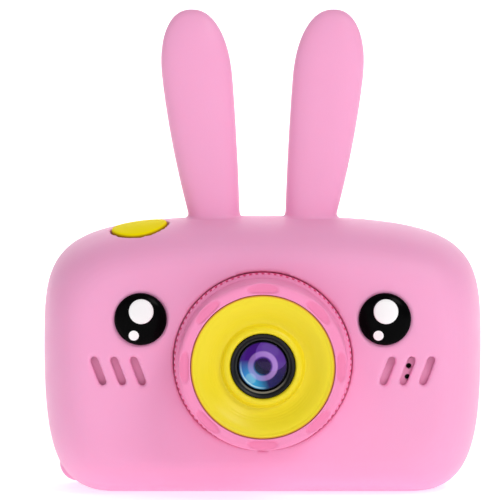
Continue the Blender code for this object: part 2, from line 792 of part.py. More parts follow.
def front_shell():
    """The casing's front half, with the tube that carries the lens group."""
    shell = pillow("front_shell", CASE_INSET, PINK_SHELL)
    cut(shell, hollow("front_hollow"), half_space("front_parting", PARTING_Y, BODY_DEPTH))
    inside = BODY_DEPTH / 2 - HOLLOW_INSET
    tube = rod(
        "lens_tube",
        TUBE_RADIUS,
        (0, 0, inside - FIT),
        (0, 0, TUBE_FRONT),
        frame=lens_frame(),
        steps=TURN_STEPS,
    )
    bore = rod(
        "lens_tube_bore",
        TUBE_RADIUS - TUBE_WALL,
        (0, 0, inside - CASE_WALL * 3),
        (0, 0, TUBE_FRONT + CASE_WALL),
        frame=lens_frame(),
        steps=TURN_STEPS,
    )
    join(shell, tube)
    cut(shell, bore, shutter_hole("front"))
    for index in range(3):
        x = SOUND_X + SOUND_SHIFT * (1 - index)
        z = LENS_HEIGHT - SOUND_CENTRE + SOUND_PITCH * (1 - index)
        cut(
            shell,
            rod(
                f"sound_hole_{index}",
                SOUND_RADIUS,
                (x, -BODY_DEPTH, z),
                (x, -BODY_DEPTH / 4, z),
                steps=10,
            ),
        )
    for place, x, z in screw_places():
        bore = rod(
            f"screw_bore_{place}",
            SHANK_RADIUS + FIT,
            (x, SCREW_TIP_Y - FIT, z),
            (x, BODY_DEPTH, z),
            steps=12,
        )
        cut(shell, bore)
    return shell


def shutter_hole(which):
    """Cutter for the shutter button's hole through the casing."""
    return rod(
        f"{which}_shutter_cutter",
        SHUTTER_RADIUS + FIT,
        (0, 0, -HOLLOW_INSET * 3),
        (0, 0, HOLLOW_INSET),
        frame=shutter_frame(),
        steps=TURN_STEPS // 2,
    )


def rear_face_y():
    """The depth of the rear panel, where the screen and the keys are."""
    return BODY_DEPTH / 2 - PLATEAU_DROP


def key_places():
    """The name, x, z and radius of each key, left and right as seen from behind."""
    x, z = KEYS_X, LENS_HEIGHT
    return (
        ("ok", x, z, KEY_RADIUS),
        ("up", x, z + KEY_PITCH, KEY_RADIUS),
        ("down", x, z - KEY_PITCH, KEY_RADIUS),
        ("left", x + KEY_PITCH, z, KEY_RADIUS),
        ("right", x - KEY_PITCH, z, KEY_RADIUS),
        ("power", x, z + SMALL_KEY_RISE, SMALL_KEY_RADIUS),
        ("menu", x, z - SMALL_KEY_RISE, SMALL_KEY_RADIUS),
    )


def board_edge():
    """How far out the main board reaches, just clear of the casing above and below the lens."""
    heights = (LENS_HEIGHT - BOARD_WING, LENS_HEIGHT + BOARD_WING)
    return min(side_surface(z, BOARD_REAR_Y, HOLLOW_INSET) for z in heights) - BOARD_MARGIN


def board_screw_places():
    """The name, x and z of each screw that holds the main board."""
    yield "left", BOARD_SCREW_INSET - board_edge(), LENS_HEIGHT
    yield "right", BOARD_SCREW_X, LENS_HEIGHT + BOARD_SCREW_RISE


def board_screw_length():
    """From under the head, through the board and into its post."""
    return BOARD_THICK + 2 * FIT + BOARD_SCREW_BITE


def rear_shell():
    """The casing's rear half, with the raised panel that fills the sleeve's opening."""
    shell = pillow("rear_shell", CASE_INSET, PINK_SHELL)
    panel = plate(
        "rear_panel",
        outline(SLEEVE_LIP + FIT),
        BODY_DEPTH / 2 - HOLLOW_INSET + CASE_WALL / 2,
        rear_face_y(),
    )
    join(shell, panel)
    space = hollow("rear_hollow")
    for place, x, z in board_screw_places():
        post = rod(
            f"board_post_{place}",
            BOARD_POST_RADIUS,
            (x, BOARD_REAR_Y + FIT, z),
            (x, BODY_DEPTH, z),
            steps=14,
        )
        cut(space, post)
    cut(shell, space, half_space("rear_parting", -BODY_DEPTH, PARTING_Y + FIT))
    cut(shell, shutter_hole("rear"))
    centre = (SCREEN_X, LENS_HEIGHT)
    seat = plate(
        "window_seat",
        rounded_rectangle(WINDOW_WIDTH + 2 * FIT, WINDOW_HEIGHT + 2 * FIT, 2.5 * MM, centre),
        rear_face_y() - WINDOW_THICK - FIT,
        BODY_DEPTH,
    )
    view = plate(
        "screen_opening",
        rounded_rectangle(WINDOW_WIDTH - 2 * WINDOW_BORDER, WINDOW_HEIGHT - 2 * WINDOW_BORDER, 1.0 * MM, centre),
        0,
        BODY_DEPTH,
    )
    cut(shell, seat, view)
    for name, x, z, radius in key_places():
        hole = rod(
            f"key_hole_{name}",
            radius + FIT,
            (x, BOARD_REAR_Y, z),
            (x, BODY_DEPTH, z),
            steps=20,
        )
        pocket = rod(
            f"key_pocket_{name}",
            radius + KEY_FLANGE + FIT,
            (x, BOARD_REAR_Y, z),
            (x, rear_face_y() - CASE_WALL, z),
            steps=20,
        )
        cut(shell, hole, pocket)
    for place, x, z in screw_places():
        bore = rod(
            f"rear_screw_bore_{place}",
            SHANK_RADIUS + FIT,
            (x, -BODY_DEPTH, z),
            (x, BODY_DEPTH, z),
            steps=12,
        )
        counterbore = rod(
            f"screw_counterbore_{place}",
            SCREW_HEAD_RADIUS + FIT,
            (x, SCREW_SEAT_Y, z),
            (x, BODY_DEPTH, z),
            steps=16,
        )
        cut(shell, bore, counterbore)
    for place, x, z in board_screw_places():
        depth = BOARD_REAR_Y - BOARD_THICK - FIT + board_screw_length() + FIT
        bore = rod(
            f"board_screw_bore_{place}",
            SHANK_RADIUS + FIT,
            (x, 0, z),
            (x, depth, z),
            steps=12,
        )
        cut(shell, bore)
    cut(shell, *port_openings())
    return shell


def port_openings():
    """Cutters for the two ports in the casing's side."""
    front = BOARD_REAR_Y - BOARD_THICK - FIT
    inner = BODY_WIDTH / 2 - HOLLOW_INSET * 2
    usb = block(
        "usb_opening",
        (inner, front - PORT_THICK - FIT, PORT_Z - PORT_WIDTH / 2 - FIT),
        (BODY_WIDTH / 2, front + FIT, PORT_Z + PORT_WIDTH / 2 + FIT),
    )
    middle = front - SOCKET_THICK / 2
    card = block(
        "card_opening",
        (inner, middle - CARD_THICK / 2 - FIT, CARD_Z - CARD_WIDTH / 2 - FIT),
        (BODY_WIDTH / 2, middle + CARD_THICK / 2 + FIT, CARD_Z + CARD_WIDTH / 2 + FIT),
    )
    return usb, card


def screw(name, frame, length):
    """A pan-head screw whose head seats on the frame's plane, with a cross recess."""
    profile = [
        (0, SCREW_HEAD_THICK),
        (SCREW_HEAD_RADIUS * 0.7, SCREW_HEAD_THICK),
        (SCREW_HEAD_RADIUS, SCREW_HEAD_THICK * 0.6),
        (SCREW_HEAD_RADIUS, 0),
        (SHANK_RADIUS, 0),
        (SHANK_RADIUS, SHANK_RADIUS - length),
        (0, -length),
    ]
    made = turned(name, profile, STEEL, frame, steps=12)
    reach, half = SCREW_HEAD_RADIUS * 0.6, SHANK_RADIUS * 0.25
    for index in range(2):
        arm = block(
            f"{name}_recess_{index}",
            (-reach, -half, SCREW_HEAD_THICK / 2),
            (reach, half, SCREW_HEAD_THICK * 2),
            frame=frame @ Matrix.Rotation(index * math.pi / 2, 4, "Z"),
        )
        cut(made, arm)


def screws():
    """Four screws that close the casing from the rear, and two that hold the main board."""
    seat = SCREW_SEAT_Y + FIT
    for place, x, z in screw_places():
        facing_rear = Matrix.Translation((x, seat, z)) @ FORWARD.inverted()
        screw(f"case_screw_{place}", facing_rear, seat - SCREW_TIP_Y)
    seat = BOARD_REAR_Y - BOARD_THICK - FIT
    for place, x, z in board_screw_places():
        screw(f"board_screw_{place}", Matrix.Translation((x, seat, z)) @ FORWARD, board_screw_length())


# Lens group


def knurled_outline(radius):
    """The (x, z) points of the flange's toothed edge."""
    points = []
    for index in range(2 * KNURL_TEETH):
        angle = math.pi * index / KNURL_TEETH
        reach = radius if index % 2 else radius - KNURL_DEPTH
        points.append((reach * math.cos(angle), LENS_HEIGHT + reach * math.sin(angle)))
    return points


def flange_rear():
    """How far forward the ring's flange starts: just clear of the casing."""
    return BODY_DEPTH / 2 - CASE_INSET + FIT


def lens_ring():
    """The ring that turns round the lens tube, with a knurled flange and eight finger dents."""
    bore = BEZEL_RADIUS + FIT
    shoulder = TUBE_FRONT - SKIRT_LENGTH
    rear = flange_rear()
    neck = BODY_DEPTH / 2 + FLANGE_RISE
    lip = 1.0 * MM
    profile = [
        (bore + lip * 0.4, RING_FRONT),
        (RING_RADIUS - lip, RING_FRONT),
        (RING_RADIUS - lip * 0.3, RING_FRONT - lip * 0.3),
        (RING_RADIUS, RING_FRONT - lip),
        (RING_FLANGE - lip, neck + lip * 0.5),
        (RING_FLANGE - lip, rear + FIT),
        (TUBE_RADIUS + FIT, rear + FIT),
        (TUBE_RADIUS + FIT, shoulder),
        (bore, shoulder),
        (bore, RING_FRONT - lip * 0.4),
    ]
    ring = turned("lens_ring", profile, RING_PINK)
    flange = plate("knurled_flange", knurled_outline(RING_FLANGE), -neck, -rear)
    hole = rod(
        "flange_hole",
        (TUBE_RADIUS + RING_FLANGE) / 2,
        (0, 0, rear - FIT),
        (0, 0, neck + FIT),
        frame=lens_frame(),
        steps=TURN_STEPS,
    )
    cut(flange, hole)
    join(ring, flange)
    middle = (RING_RADIUS + bore) / 2
    for index in range(GRIP_COUNT):
        turn = Matrix.Rotation(2 * math.pi * index / GRIP_COUNT, 4, "Z")
        dent = rod(
            f"grip_cutter_{index}",
            1.0,
            (0, 0, -GRIP_DEPTH),
            (0, 0, GRIP_DEPTH),
            frame=lens_frame() @ turn @ Matrix.Translation((0, middle, RING_FRONT)),
            steps=16,
        )
        dent.data.transform(Matrix.Diagonal((GRIP_LENGTH / 2, GRIP_WIDTH / 2, 1, 1)))
        cut(ring, dent)
    return ring


def lens_bezel():
    """The yellow dish pressed over the lens tube, with a collar round the glass."""
    rim = RING_FRONT - BEZEL_SHY
    skirt = TUBE_FRONT - SKIRT_LENGTH + FIT
    bore = GLASS_SEAT + FIT
    dish = rim - DISH_DEPTH
    crest = rim - CREST_SHY
    roof = dish - BEZEL_WALL
    profile = [
        (bore, crest - 0.7 * MM),
        (bore + 0.3 * MM, crest - 0.15 * MM),
        (bore + 0.8 * MM, crest),
        (COLLAR_RADIUS - 0.3 * MM, crest - 0.6 * MM),
        (COLLAR_RADIUS, dish + 0.1 * MM),
        (COLLAR_RADIUS + 0.6 * MM, dish),
        (COLLAR_RADIUS + 2.2 * MM, dish + 0.75 * MM),
        (BEZEL_RADIUS - 2.2 * MM, rim - 0.7 * MM),
        (BEZEL_RADIUS - 0.6 * MM, rim),
        (BEZEL_RADIUS, rim - 0.5 * MM),
        (BEZEL_RADIUS, skirt),
        (TUBE_RADIUS + FIT, skirt),
        (TUBE_RADIUS + FIT, TUBE_FRONT + FIT),
        (COLLAR_RADIUS + 1.5 * MM, TUBE_FRONT + FIT),
        (COLLAR_RADIUS - 0.4 * MM, roof),
        (COLLAR_RADIUS - 0.4 * MM, TUBE_FRONT - 3.5 * MM),
        (bore, TUBE_FRONT - 3.5 * MM),
    ]
    return turned("lens_bezel", profile, YELLOW)


def lens_group():
    """The glass, its black retainer and the lens module behind it."""
    glass_edge = RING_FRONT - GLASS_SHY
    glass_rear = glass_edge - GLASS_THICK
    barrel_front = glass_rear - FIT
    tower_front = barrel_front - BARREL_HEAD - FIT
    turned(
        "lens_retainer",
        [
            (GLASS_RADIUS + 0.3 * MM, RING_FRONT - 1.9 * MM),
            (GLASS_SEAT - 0.3 * MM, RING_FRONT - 1.7 * MM),
            (GLASS_SEAT, RING_FRONT - 2.0 * MM),
            (GLASS_SEAT, tower_front + FIT),
            (GLASS_RADIUS - 0.6 * MM, tower_front + FIT),
            (GLASS_RADIUS - 0.6 * MM, glass_rear - FIT),
            (GLASS_RADIUS, glass_rear - FIT),
            (GLASS_RADIUS, glass_edge + FIT),
        ],
        MATT_BLACK,
    )
    edge = GLASS_RADIUS - FIT
    dome = [(edge * math.sin(a), GLASS_DOME * math.cos(a)) for a in (0, 0.4, 0.8, 1.2)]
    turned(
        "lens_cover_glass",
        [(radius, glass_edge + rise) for radius, rise in dome]
        + [(edge, glass_edge), (edge, glass_rear), (0, glass_rear)],
        CLEAR_GLASS,
        steps=32,
    )
    board_front = BODY_DEPTH / 2 - HOLLOW_INSET + 0.8 * MM
    holder_rear = board_front + FIT
    filter_rear = holder_rear + HOLDER_BASE * 0.75 + FIT
    barrel_rear = filter_rear + 2 * FILTER_THICK
    head = APERTURE + BARREL_WALL
    well_radius = APERTURE + ELEMENT_WELL
    well_rear = barrel_front - HOLDER_BASE
    turned(
        "lens_barrel",
        [
            (head - 0.2 * MM, barrel_front),
            (head, barrel_front - 0.2 * MM),
            (head, barrel_front - BARREL_HEAD),
            (THREAD_RADIUS, barrel_front - BARREL_HEAD),
            (THREAD_RADIUS, barrel_rear),
            (APERTURE, barrel_rear),
            (APERTURE, well_rear),
            (well_radius, well_rear),
            (well_radius, barrel_front - ELEMENT_WELL),
        ],
        MATT_BLACK,
        steps=32,
    )
    seat = well_rear + FIT
    front_radius = well_radius - FIT
    turned(
        "lens_front_element",
        [
            (0, seat + ELEMENT_HEIGHT),
            (front_radius * 0.45, seat + ELEMENT_HEIGHT * 0.9),
            (front_radius * 0.8, seat + ELEMENT_HEIGHT * 0.63),
            (front_radius, seat + ELEMENT_HEIGHT / 3),
            (front_radius, seat),
            (0, seat),
        ],
        CLEAR_GLASS,
        steps=SMALL_TURN_STEPS,
    )
    turned(
        "lens_rear_element",
        [
            (0, barrel_rear + ELEMENT_HEIGHT),
            (APERTURE - FIT, barrel_rear + ELEMENT_HEIGHT * 0.8),
            (APERTURE - FIT, barrel_rear + ELEMENT_HEIGHT / 3),
            (0, barrel_rear + ELEMENT_HEIGHT * 0.13),
        ],
        CLEAR_GLASS,
        steps=SMALL_TURN_STEPS,
    )
    half, sensor = HOLDER_HALF, SENSOR_HALF
    base_front = holder_rear + HOLDER_BASE
    frame = lens_frame()
    holder = block("lens_holder", (-half, -half, holder_rear), (half, half, base_front), MATT_BLACK, frame)
    tower = rod(
        "holder_tower",
        THREAD_RADIUS + THREAD_WALL,
        (0, 0, base_front - 0.5 * MM),
        (0, 0, tower_front),
        frame=frame,
        steps=SMALL_TURN_STEPS,
    )
    well = block(
        "sensor_well",
        (-sensor - FIT, -sensor - FIT, holder_rear - FIT),
        (sensor + FIT, sensor + FIT, holder_rear + SENSOR_THICK + 2 * FIT),
        frame=frame,
    )
    threaded = rod(
        "holder_bore",
        THREAD_RADIUS + FIT,
        (0, 0, filter_rear - FIT),
        (0, 0, barrel_front),
        frame=frame,
        steps=SMALL_TURN_STEPS,
    )
    light_path = rod(
        "holder_light_path",
        APERTURE,
        (0, 0, holder_rear),
        (0, 0, base_front),
        frame=frame,
        steps=16,
    )
    join(holder, tower)
    cut(holder, well, threaded, light_path)
    rod(
        "ir_filter",
        THREAD_RADIUS - FIT,
        (0, 0, filter_rear),
        (0, 0, filter_rear + FILTER_THICK),
        FILTER_GLASS,
        frame,
        SMALL_TURN_STEPS,
    )
    block(
        "image_sensor",
        (-sensor, -sensor, holder_rear),
        (sensor, sensor, holder_rear + SENSOR_THICK),
        CHIP_BLACK,
        frame,
    )
    side = (TUBE_RADIUS - TUBE_WALL) / math.sqrt(2) - 2 * FIT
    block("sensor_board", (-side, -side, board_front - SENSOR_BOARD_THICK), (side, side, board_front), BOARD_GREEN, frame)
    return board_front


# Shutter


def ceiling_depth(frame, radius):
    """How deep in the shutter's frame the casing's ceiling comes down over a disc."""
    depths = []
    for step in range(TURN_STEPS):
        angle = 2 * math.pi * step / TURN_STEPS
        rim = frame @ Vector((radius * math.cos(angle), radius * math.sin(angle), 0))
        depths.append(top_surface(rim.x, rim.y, HOLLOW_INSET) - rim.z)
    return min(depths)


def shutter():
    """The shutter button, which follows the sleeve's surface, and its switch on a small board."""
    frame = shutter_frame()
    flange_radius = SHUTTER_RADIUS + FIT + SHUTTER_FLANGE
    flange_top = ceiling_depth(frame, flange_radius) - FIT
    flange_low = flange_top - SHUTTER_FLANGE_THICK
    post_low = flange_low - SHUTTER_POST_LENGTH
    cap = rod(
        "shutter_button",
        SHUTTER_RADIUS,
        (0, 0, (flange_top + flange_low) / 2),
        (0, 0, SLEEVE_WALL),
        YELLOW,
        frame,
        TURN_STEPS // 2,
    )
    boolean(cap, pillow("shutter_surface", -SHUTTER_PROUD), "INTERSECT")
    flange = rod(
        "shutter_flange",
        flange_radius,
        (0, 0, flange_low),
        (0, 0, flange_top),
        frame=frame,
        steps=TURN_STEPS // 2,
    )
    post = rod("shutter_post", SHUTTER_POST_RADIUS, (0, 0, post_low), (0, 0, flange_top), frame=frame, steps=12)
    join(cap, flange, post)
    switch_top = post_low - SHUTTER_TRAVEL - FIT
    switch_low = switch_top - SHUTTER_SWITCH_HEIGHT
    half = SHUTTER_SWITCH_SIDE / 2
    block("shutter_switch", (-half, -half, switch_low), (half, half, switch_top), CHIP_BLACK, frame)
    board_top = switch_low - FIT
    block(
        "shutter_board",
        (-SHUTTER_BOARD_LENGTH / 2, -SHUTTER_BOARD_WIDTH / 2, board_top - BOARD_THICK),
        (SHUTTER_BOARD_LENGTH / 2, SHUTTER_BOARD_WIDTH / 2, board_top),
        BOARD_GREEN,
        frame,
    )


# Rear side


def screen():
    """The display, its foam frame and the clear window over it."""
    low, high = LENS_HEIGHT - SCREEN_HEIGHT / 2, LENS_HEIGHT + SCREEN_HEIGHT / 2
    left, right = SCREEN_X - SCREEN_WIDTH / 2, SCREEN_X + SCREEN_WIDTH / 2
    rear = BODY_DEPTH / 2 - HOLLOW_INSET - FIT
    block("lcd_module", (left, rear - SCREEN_THICK, low), (right, rear, high), SCREEN_BLACK)
    centre = (SCREEN_X, LENS_HEIGHT)
    inner_width = WINDOW_WIDTH - 2 * WINDOW_BORDER
    inner_height = WINDOW_HEIGHT - 2 * WINDOW_BORDER
    gasket = plate(
        "lcd_gasket",
        rounded_rectangle(inner_width - 2 * FIT, inner_height - 2 * FIT, 0.8 * MM, centre, 2),
        rear + FIT,
        rear_face_y() - WINDOW_THICK - 2 * FIT,
        FOAM,
    )
    opening = plate(
        "gasket_opening",
        rounded_rectangle(inner_width - 2.4 * MM, inner_height - 2.4 * MM, 0.5 * MM, centre, 2),
        0,
        BODY_DEPTH,
    )
    cut(gasket, opening)
    plate(
        "lcd_window",
        rounded_rectangle(WINDOW_WIDTH, WINDOW_HEIGHT, 2.2 * MM, centre),
        rear_face_y() - WINDOW_THICK,
        rear_face_y(),
        SCREEN_BLACK,
    )


def keys():
    """Seven keys on the rear, each a flanged cap with a post over its own dome switch."""
    for name, x, z, radius in key_places():
        top = rear_face_y() + KEY_PROUD
        flange_rear = rear_face_y() - CASE_WALL - FIT
        flange_front = flange_rear - KEY_FLANGE_THICK
        switch_top = BOARD_REAR_Y + FIT + SWITCH_THICK
        post_end = switch_top + KEY_TRAVEL + FIT
        edge = 0.35 * MM
        profile = [
            (0, top),
            (radius - edge, top),
            (radius, top - edge),
            (radius, flange_rear),
            (radius + KEY_FLANGE, flange_rear),
            (radius + KEY_FLANGE, flange_front),
            (radius * 0.4, flange_front),
            (radius * 0.4, post_end),
            (0, post_end),
        ]
        facing_rear = Matrix.Translation((x, 0, z)) @ FORWARD.inverted()
        turned(f"key_{name}", profile, YELLOW, facing_rear, steps=20)
        half = SWITCH_SIDE / 2
        block(
            f"key_switch_{name}",
            (x - half, BOARD_REAR_Y + FIT, z - half),
            (x + half, switch_top, z + half),
            STEEL,
        )


# Electronics


def main_board():
    """The main board, wide between the screw bosses and narrower above and below them."""
    z = LENS_HEIGHT
    edge = board_edge()
    waist = SCREW_X - BOSS_RADIUS - BOARD_MARGIN
    right = [
        (waist, z - BOARD_HALF),
        (waist, z - BOARD_WING - BOARD_SHOULDER),
        (edge, z - BOARD_WING),
        (edge, z + BOARD_WING),
        (waist, z + BOARD_WING + BOARD_SHOULDER),
        (waist, z + BOARD_HALF),
    ]
    points = right + [(-x, height) for x, height in reversed(right)]
    board = plate("main_board", points, BOARD_REAR_Y - BOARD_THICK, BOARD_REAR_Y, BOARD_GREEN)
    for place, x, height in board_screw_places():
        hole = rod(
            f"board_hole_{place}",
            SHANK_RADIUS + FIT,
            (x, 0, height),
            (x, BODY_DEPTH, height),
            steps=12,
        )
        cut(board, hole)


def ports():
    """The charging port, the card socket and the card in it."""
    front = BOARD_REAR_Y - BOARD_THICK - FIT
    mouth = BODY_WIDTH / 2 - CASE_INSET - 0.4 * MM
    usb = block(
        "usb_port",
        (mouth - PORT_LENGTH, front - PORT_THICK, PORT_Z - PORT_WIDTH / 2),
        (mouth, front, PORT_Z + PORT_WIDTH / 2),
        STEEL,
    )
    wall = 0.35 * MM
    inside = block(
        "usb_inside",
        (mouth - PORT_LENGTH + wall * 2, front - PORT_THICK + wall, PORT_Z - PORT_WIDTH / 2 + wall),
        (mouth + wall, front - wall, PORT_Z + PORT_WIDTH / 2 - wall),
    )
    tongue = block(
        "usb_tongue",
        (mouth - PORT_LENGTH + wall, front - PORT_THICK * 0.62, PORT_Z - PORT_WIDTH * 0.3),
        (mouth - wall * 2, front - PORT_THICK * 0.38, PORT_Z + PORT_WIDTH * 0.3),
    )
    cut(usb, inside)
    join(usb, tongue)
    case_inner = side_surface(CARD_Z - SOCKET_WIDTH / 2, front, HOLLOW_INSET) - FIT
    socket = block(
        "card_socket",
        (case_inner - SOCKET_LENGTH, front - SOCKET_THICK, CARD_Z - SOCKET_WIDTH / 2),
        (case_inner, front, CARD_Z + SOCKET_WIDTH / 2),
        STEEL,
    )
    middle = front - SOCKET_THICK / 2
    card_end = mouth + CARD_GRIP
    low = (card_end - CARD_LENGTH, middle - CARD_THICK / 2, CARD_Z - CARD_WIDTH / 2)
    high = (card_end, middle + CARD_THICK / 2, CARD_Z + CARD_WIDTH / 2)
    gap = Vector((FIT * 0.9, FIT * 0.9, FIT * 0.9))
    way = block("card_way", Vector(low) - gap, Vector(high) + gap)
    cut(socket, way)
    block("memory_card", low, high, CHIP_BLACK)


def chips_and_battery(board_front):
    """The chips, battery, plug, speaker and microphone."""
    front = BOARD_REAR_Y - BOARD_THICK - FIT
    z = LENS_HEIGHT
    for name, width, height, x, middle in (
        ("processor_chip", PROCESSOR_SIDE, PROCESSOR_SIDE, PROCESSOR_X, z + PROCESSOR_RISE),
        ("memory_chip", MEMORY_WIDTH, MEMORY_HEIGHT, MEMORY_X, z - MEMORY_DROP),
    ):
        low = (x - width / 2, front - CHIP_THICK, middle - height / 2)
        block(name, low, (x + width / 2, front, middle + height / 2), CHIP_BLACK)
    length, thick, height = BATTERY_SIZE
    plug_low = z + height / 2 + FIT
    plug_high = plug_low + PLUG_HEIGHT
    block(
        "battery_plug",
        (PLUG_X - PLUG_WIDTH / 2, front - PLUG_HEIGHT, plug_low),
        (PLUG_X + PLUG_WIDTH / 2, front, plug_high),
        NYLON,
    )
    rear = front - SOCKET_THICK - 2 * FIT
    left = BATTERY_X - length / 2
    block(
        "battery",
        (left, rear - thick, z - height / 2),
        (left + length, rear, z + height / 2),
        FOIL,
    )
    for side, name, finish in ((-1, "black", LEAD_BLACK), (1, "red", LEAD_RED)):
        battery_lead(
            f"battery_lead_{name}",
            Vector((left - 2 * FIT, rear - thick / 2 + side * LEAD_PITCH / 2, z + LEAD_RISE)),
            Vector((PLUG_X, front - PLUG_HEIGHT / 2 + side * LEAD_PITCH / 2, plug_high + 2 * FIT)),
            finish,
        )
    sound_z = LENS_HEIGHT - SOUND_CENTRE
    speaker_front = front_y(SOUND_X, sound_z, HOLLOW_INSET) + SPEAKER_GAP
    while side_surface(sound_z, speaker_front, HOLLOW_INSET) < SOUND_X + SPEAKER_RADIUS + FIT:
        speaker_front += FIT
    frame = Matrix.Translation((SOUND_X, 0, sound_z)) @ FORWARD
    rod(
        "speaker",
        SPEAKER_RADIUS,
        (0, 0, -speaker_front - SPEAKER_THICK),
        (0, 0, -speaker_front),
        CHIP_BLACK,
        frame,
        SMALL_TURN_STEPS,
    )
    foam_front = -speaker_front + FOAM_WALL
    turned(
        "speaker_gasket",
        [
            (FOAM_RADIUS - FOAM_WALL, foam_front),
            (FOAM_RADIUS, foam_front),
            (FOAM_RADIUS, -speaker_front + FIT),
            (FOAM_RADIUS - FOAM_WALL, -speaker_front + FIT),
        ],
        FOAM,
        frame,
        steps=SMALL_TURN_STEPS,
    )
    rod(
        "microphone",
        MICROPHONE_RADIUS,
        (MICROPHONE_X, front - MICROPHONE_THICK, z - MICROPHONE_DROP),
        (MICROPHONE_X, front, z - MICROPHONE_DROP),
        STEEL,
        steps=16,
    )
    ribbons(board_front, front)


def battery_lead(name, start, end, finish):
    """One insulated wire that leaves the battery sideways and enters its plug from above."""
    curve = bpy.data.curves.new(name, "CURVE")
    curve.dimensions = "3D"
    curve.bevel_depth = LEAD_RADIUS
    curve.bevel_resolution = 2
    curve.use_fill_caps = True
    spline = curve.splines.new("POLY")
    out, up = Vector((-LEAD_BEND, 0, 0)), Vector((0, 0, LEAD_BEND))
    points = interpolate_bezier(start, start + out, end + up, end, 10)
    spline.points.add(len(points) - 1)
    for point, place in zip(spline.points, points):
        point.co = (*place, 1)
    return add_object(name, curve, finish)


def ribbon(name, path, width_axis, width, finish):
    """A flat cable: a strip along a path, given its thickness by Solidify."""
    bm = bmesh.new()
    half = Vector(width_axis) * width / 2
    rows = [(bm.verts.new(Vector(p) - half), bm.verts.new(Vector(p) + half)) for p in path]
    for (a, b), (c, d) in zip(rows, rows[1:]):
        bm.faces.new((a, b, d, c))
    obj = object_from_bmesh(name, bm, finish)
    solid = obj.modifiers.new("thickness", "SOLIDIFY")
    solid.thickness = FLEX_THICK
    solid.offset = 0
    return obj


def ribbons(board_front, chip_front):
    """The flat cables of the image sensor and of the display."""
    y = -(board_front - SENSOR_BOARD_THICK - 2 * FIT)
    z = LENS_HEIGHT
    turn_x = PROCESSOR_X - PROCESSOR_SIDE
    chip_top = chip_front - CHIP_THICK - 2 * FIT
    sensor_path = interpolate_bezier(
        (-2 * MM, y, z), (turn_x, y, z), (turn_x, chip_top - 2.4 * MM, z), (PROCESSOR_X, chip_top, z), 12
    )
    ribbon("sensor_flex", sensor_path, (0, 0, 1), SENSOR_FLEX_WIDTH, AMBER_FLEX)
    low = LENS_HEIGHT - SCREEN_HEIGHT / 2
    lcd_y = BODY_DEPTH / 2 - HOLLOW_INSET - FIT - SCREEN_THICK / 2
    start = Vector((SCREEN_X, lcd_y, low - FIT))
    end = Vector((SCREEN_X, BOARD_REAR_Y + 2 * FIT, low + 3 * MM))
    dip = Vector((0, 0, -2.5 * MM))
    lcd_path = interpolate_bezier(start, start + dip, end + dip * 2.4, end, 10)
    ribbon("lcd_flex", lcd_path, (1, 0, 0), LCD_FLEX_WIDTH, AMBER_FLEX)


def main():
    clear_scene()
    sleeve()
    eyes()
    front_shell()
    rear_shell()
    screws()
    lens_ring()
    lens_bezel()
    board_front = lens_group()
    shutter()
    screen()
    keys()
    main_board()
    ports()
    chips_and_battery(board_front)


main()
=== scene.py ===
"""Looks of a kids' camera in a rabbit-eared silicone sleeve: fine shapes, finishes and studio."""

import logging
import math
from dataclasses import dataclass, field
from enum import Enum
from typing import Iterable, Sequence

import bmesh
import bpy
from mathutils import Matrix, Vector


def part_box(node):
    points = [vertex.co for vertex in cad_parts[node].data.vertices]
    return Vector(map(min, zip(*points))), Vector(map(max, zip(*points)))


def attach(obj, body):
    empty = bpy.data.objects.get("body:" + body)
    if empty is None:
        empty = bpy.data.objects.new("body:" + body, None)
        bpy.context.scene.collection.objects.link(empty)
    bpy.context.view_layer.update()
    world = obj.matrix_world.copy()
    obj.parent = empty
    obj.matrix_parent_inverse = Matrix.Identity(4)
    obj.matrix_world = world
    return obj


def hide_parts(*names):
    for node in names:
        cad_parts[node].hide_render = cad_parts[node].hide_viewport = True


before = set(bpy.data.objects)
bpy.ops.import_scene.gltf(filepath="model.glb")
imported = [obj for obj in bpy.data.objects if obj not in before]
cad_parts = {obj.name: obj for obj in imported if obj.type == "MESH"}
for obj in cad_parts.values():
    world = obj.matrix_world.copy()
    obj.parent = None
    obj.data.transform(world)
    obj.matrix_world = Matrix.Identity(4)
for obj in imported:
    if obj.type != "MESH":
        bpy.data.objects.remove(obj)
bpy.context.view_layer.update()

LOG = logging.getLogger("camera")
MM = 0.001
FIT = 0.3
BODY = "camera_body"
LENS_HEIGHT = 29.6
FORWARD = Matrix.Rotation(math.pi / 2, 4, "X")  # turns local +Z to look along -Y
REARWARD = FORWARD.inverted()
LENS_FRAME = Matrix.Translation((0, 0, LENS_HEIGHT)) @ FORWARD

Point = tuple[float, float]
Corner = tuple[float, float, float]
Colour = tuple[float, float, float]


def linear(red: int, green: int, blue: int) -> Colour:
    """Display levels 0-255 as linear light."""
    return tuple(
        level / 12.92 if level <= 0.04045 else ((level + 0.055) / 1.055) ** 2.4
        for level in (red / 255, green / 255, blue / 255)
    )


# Finishes


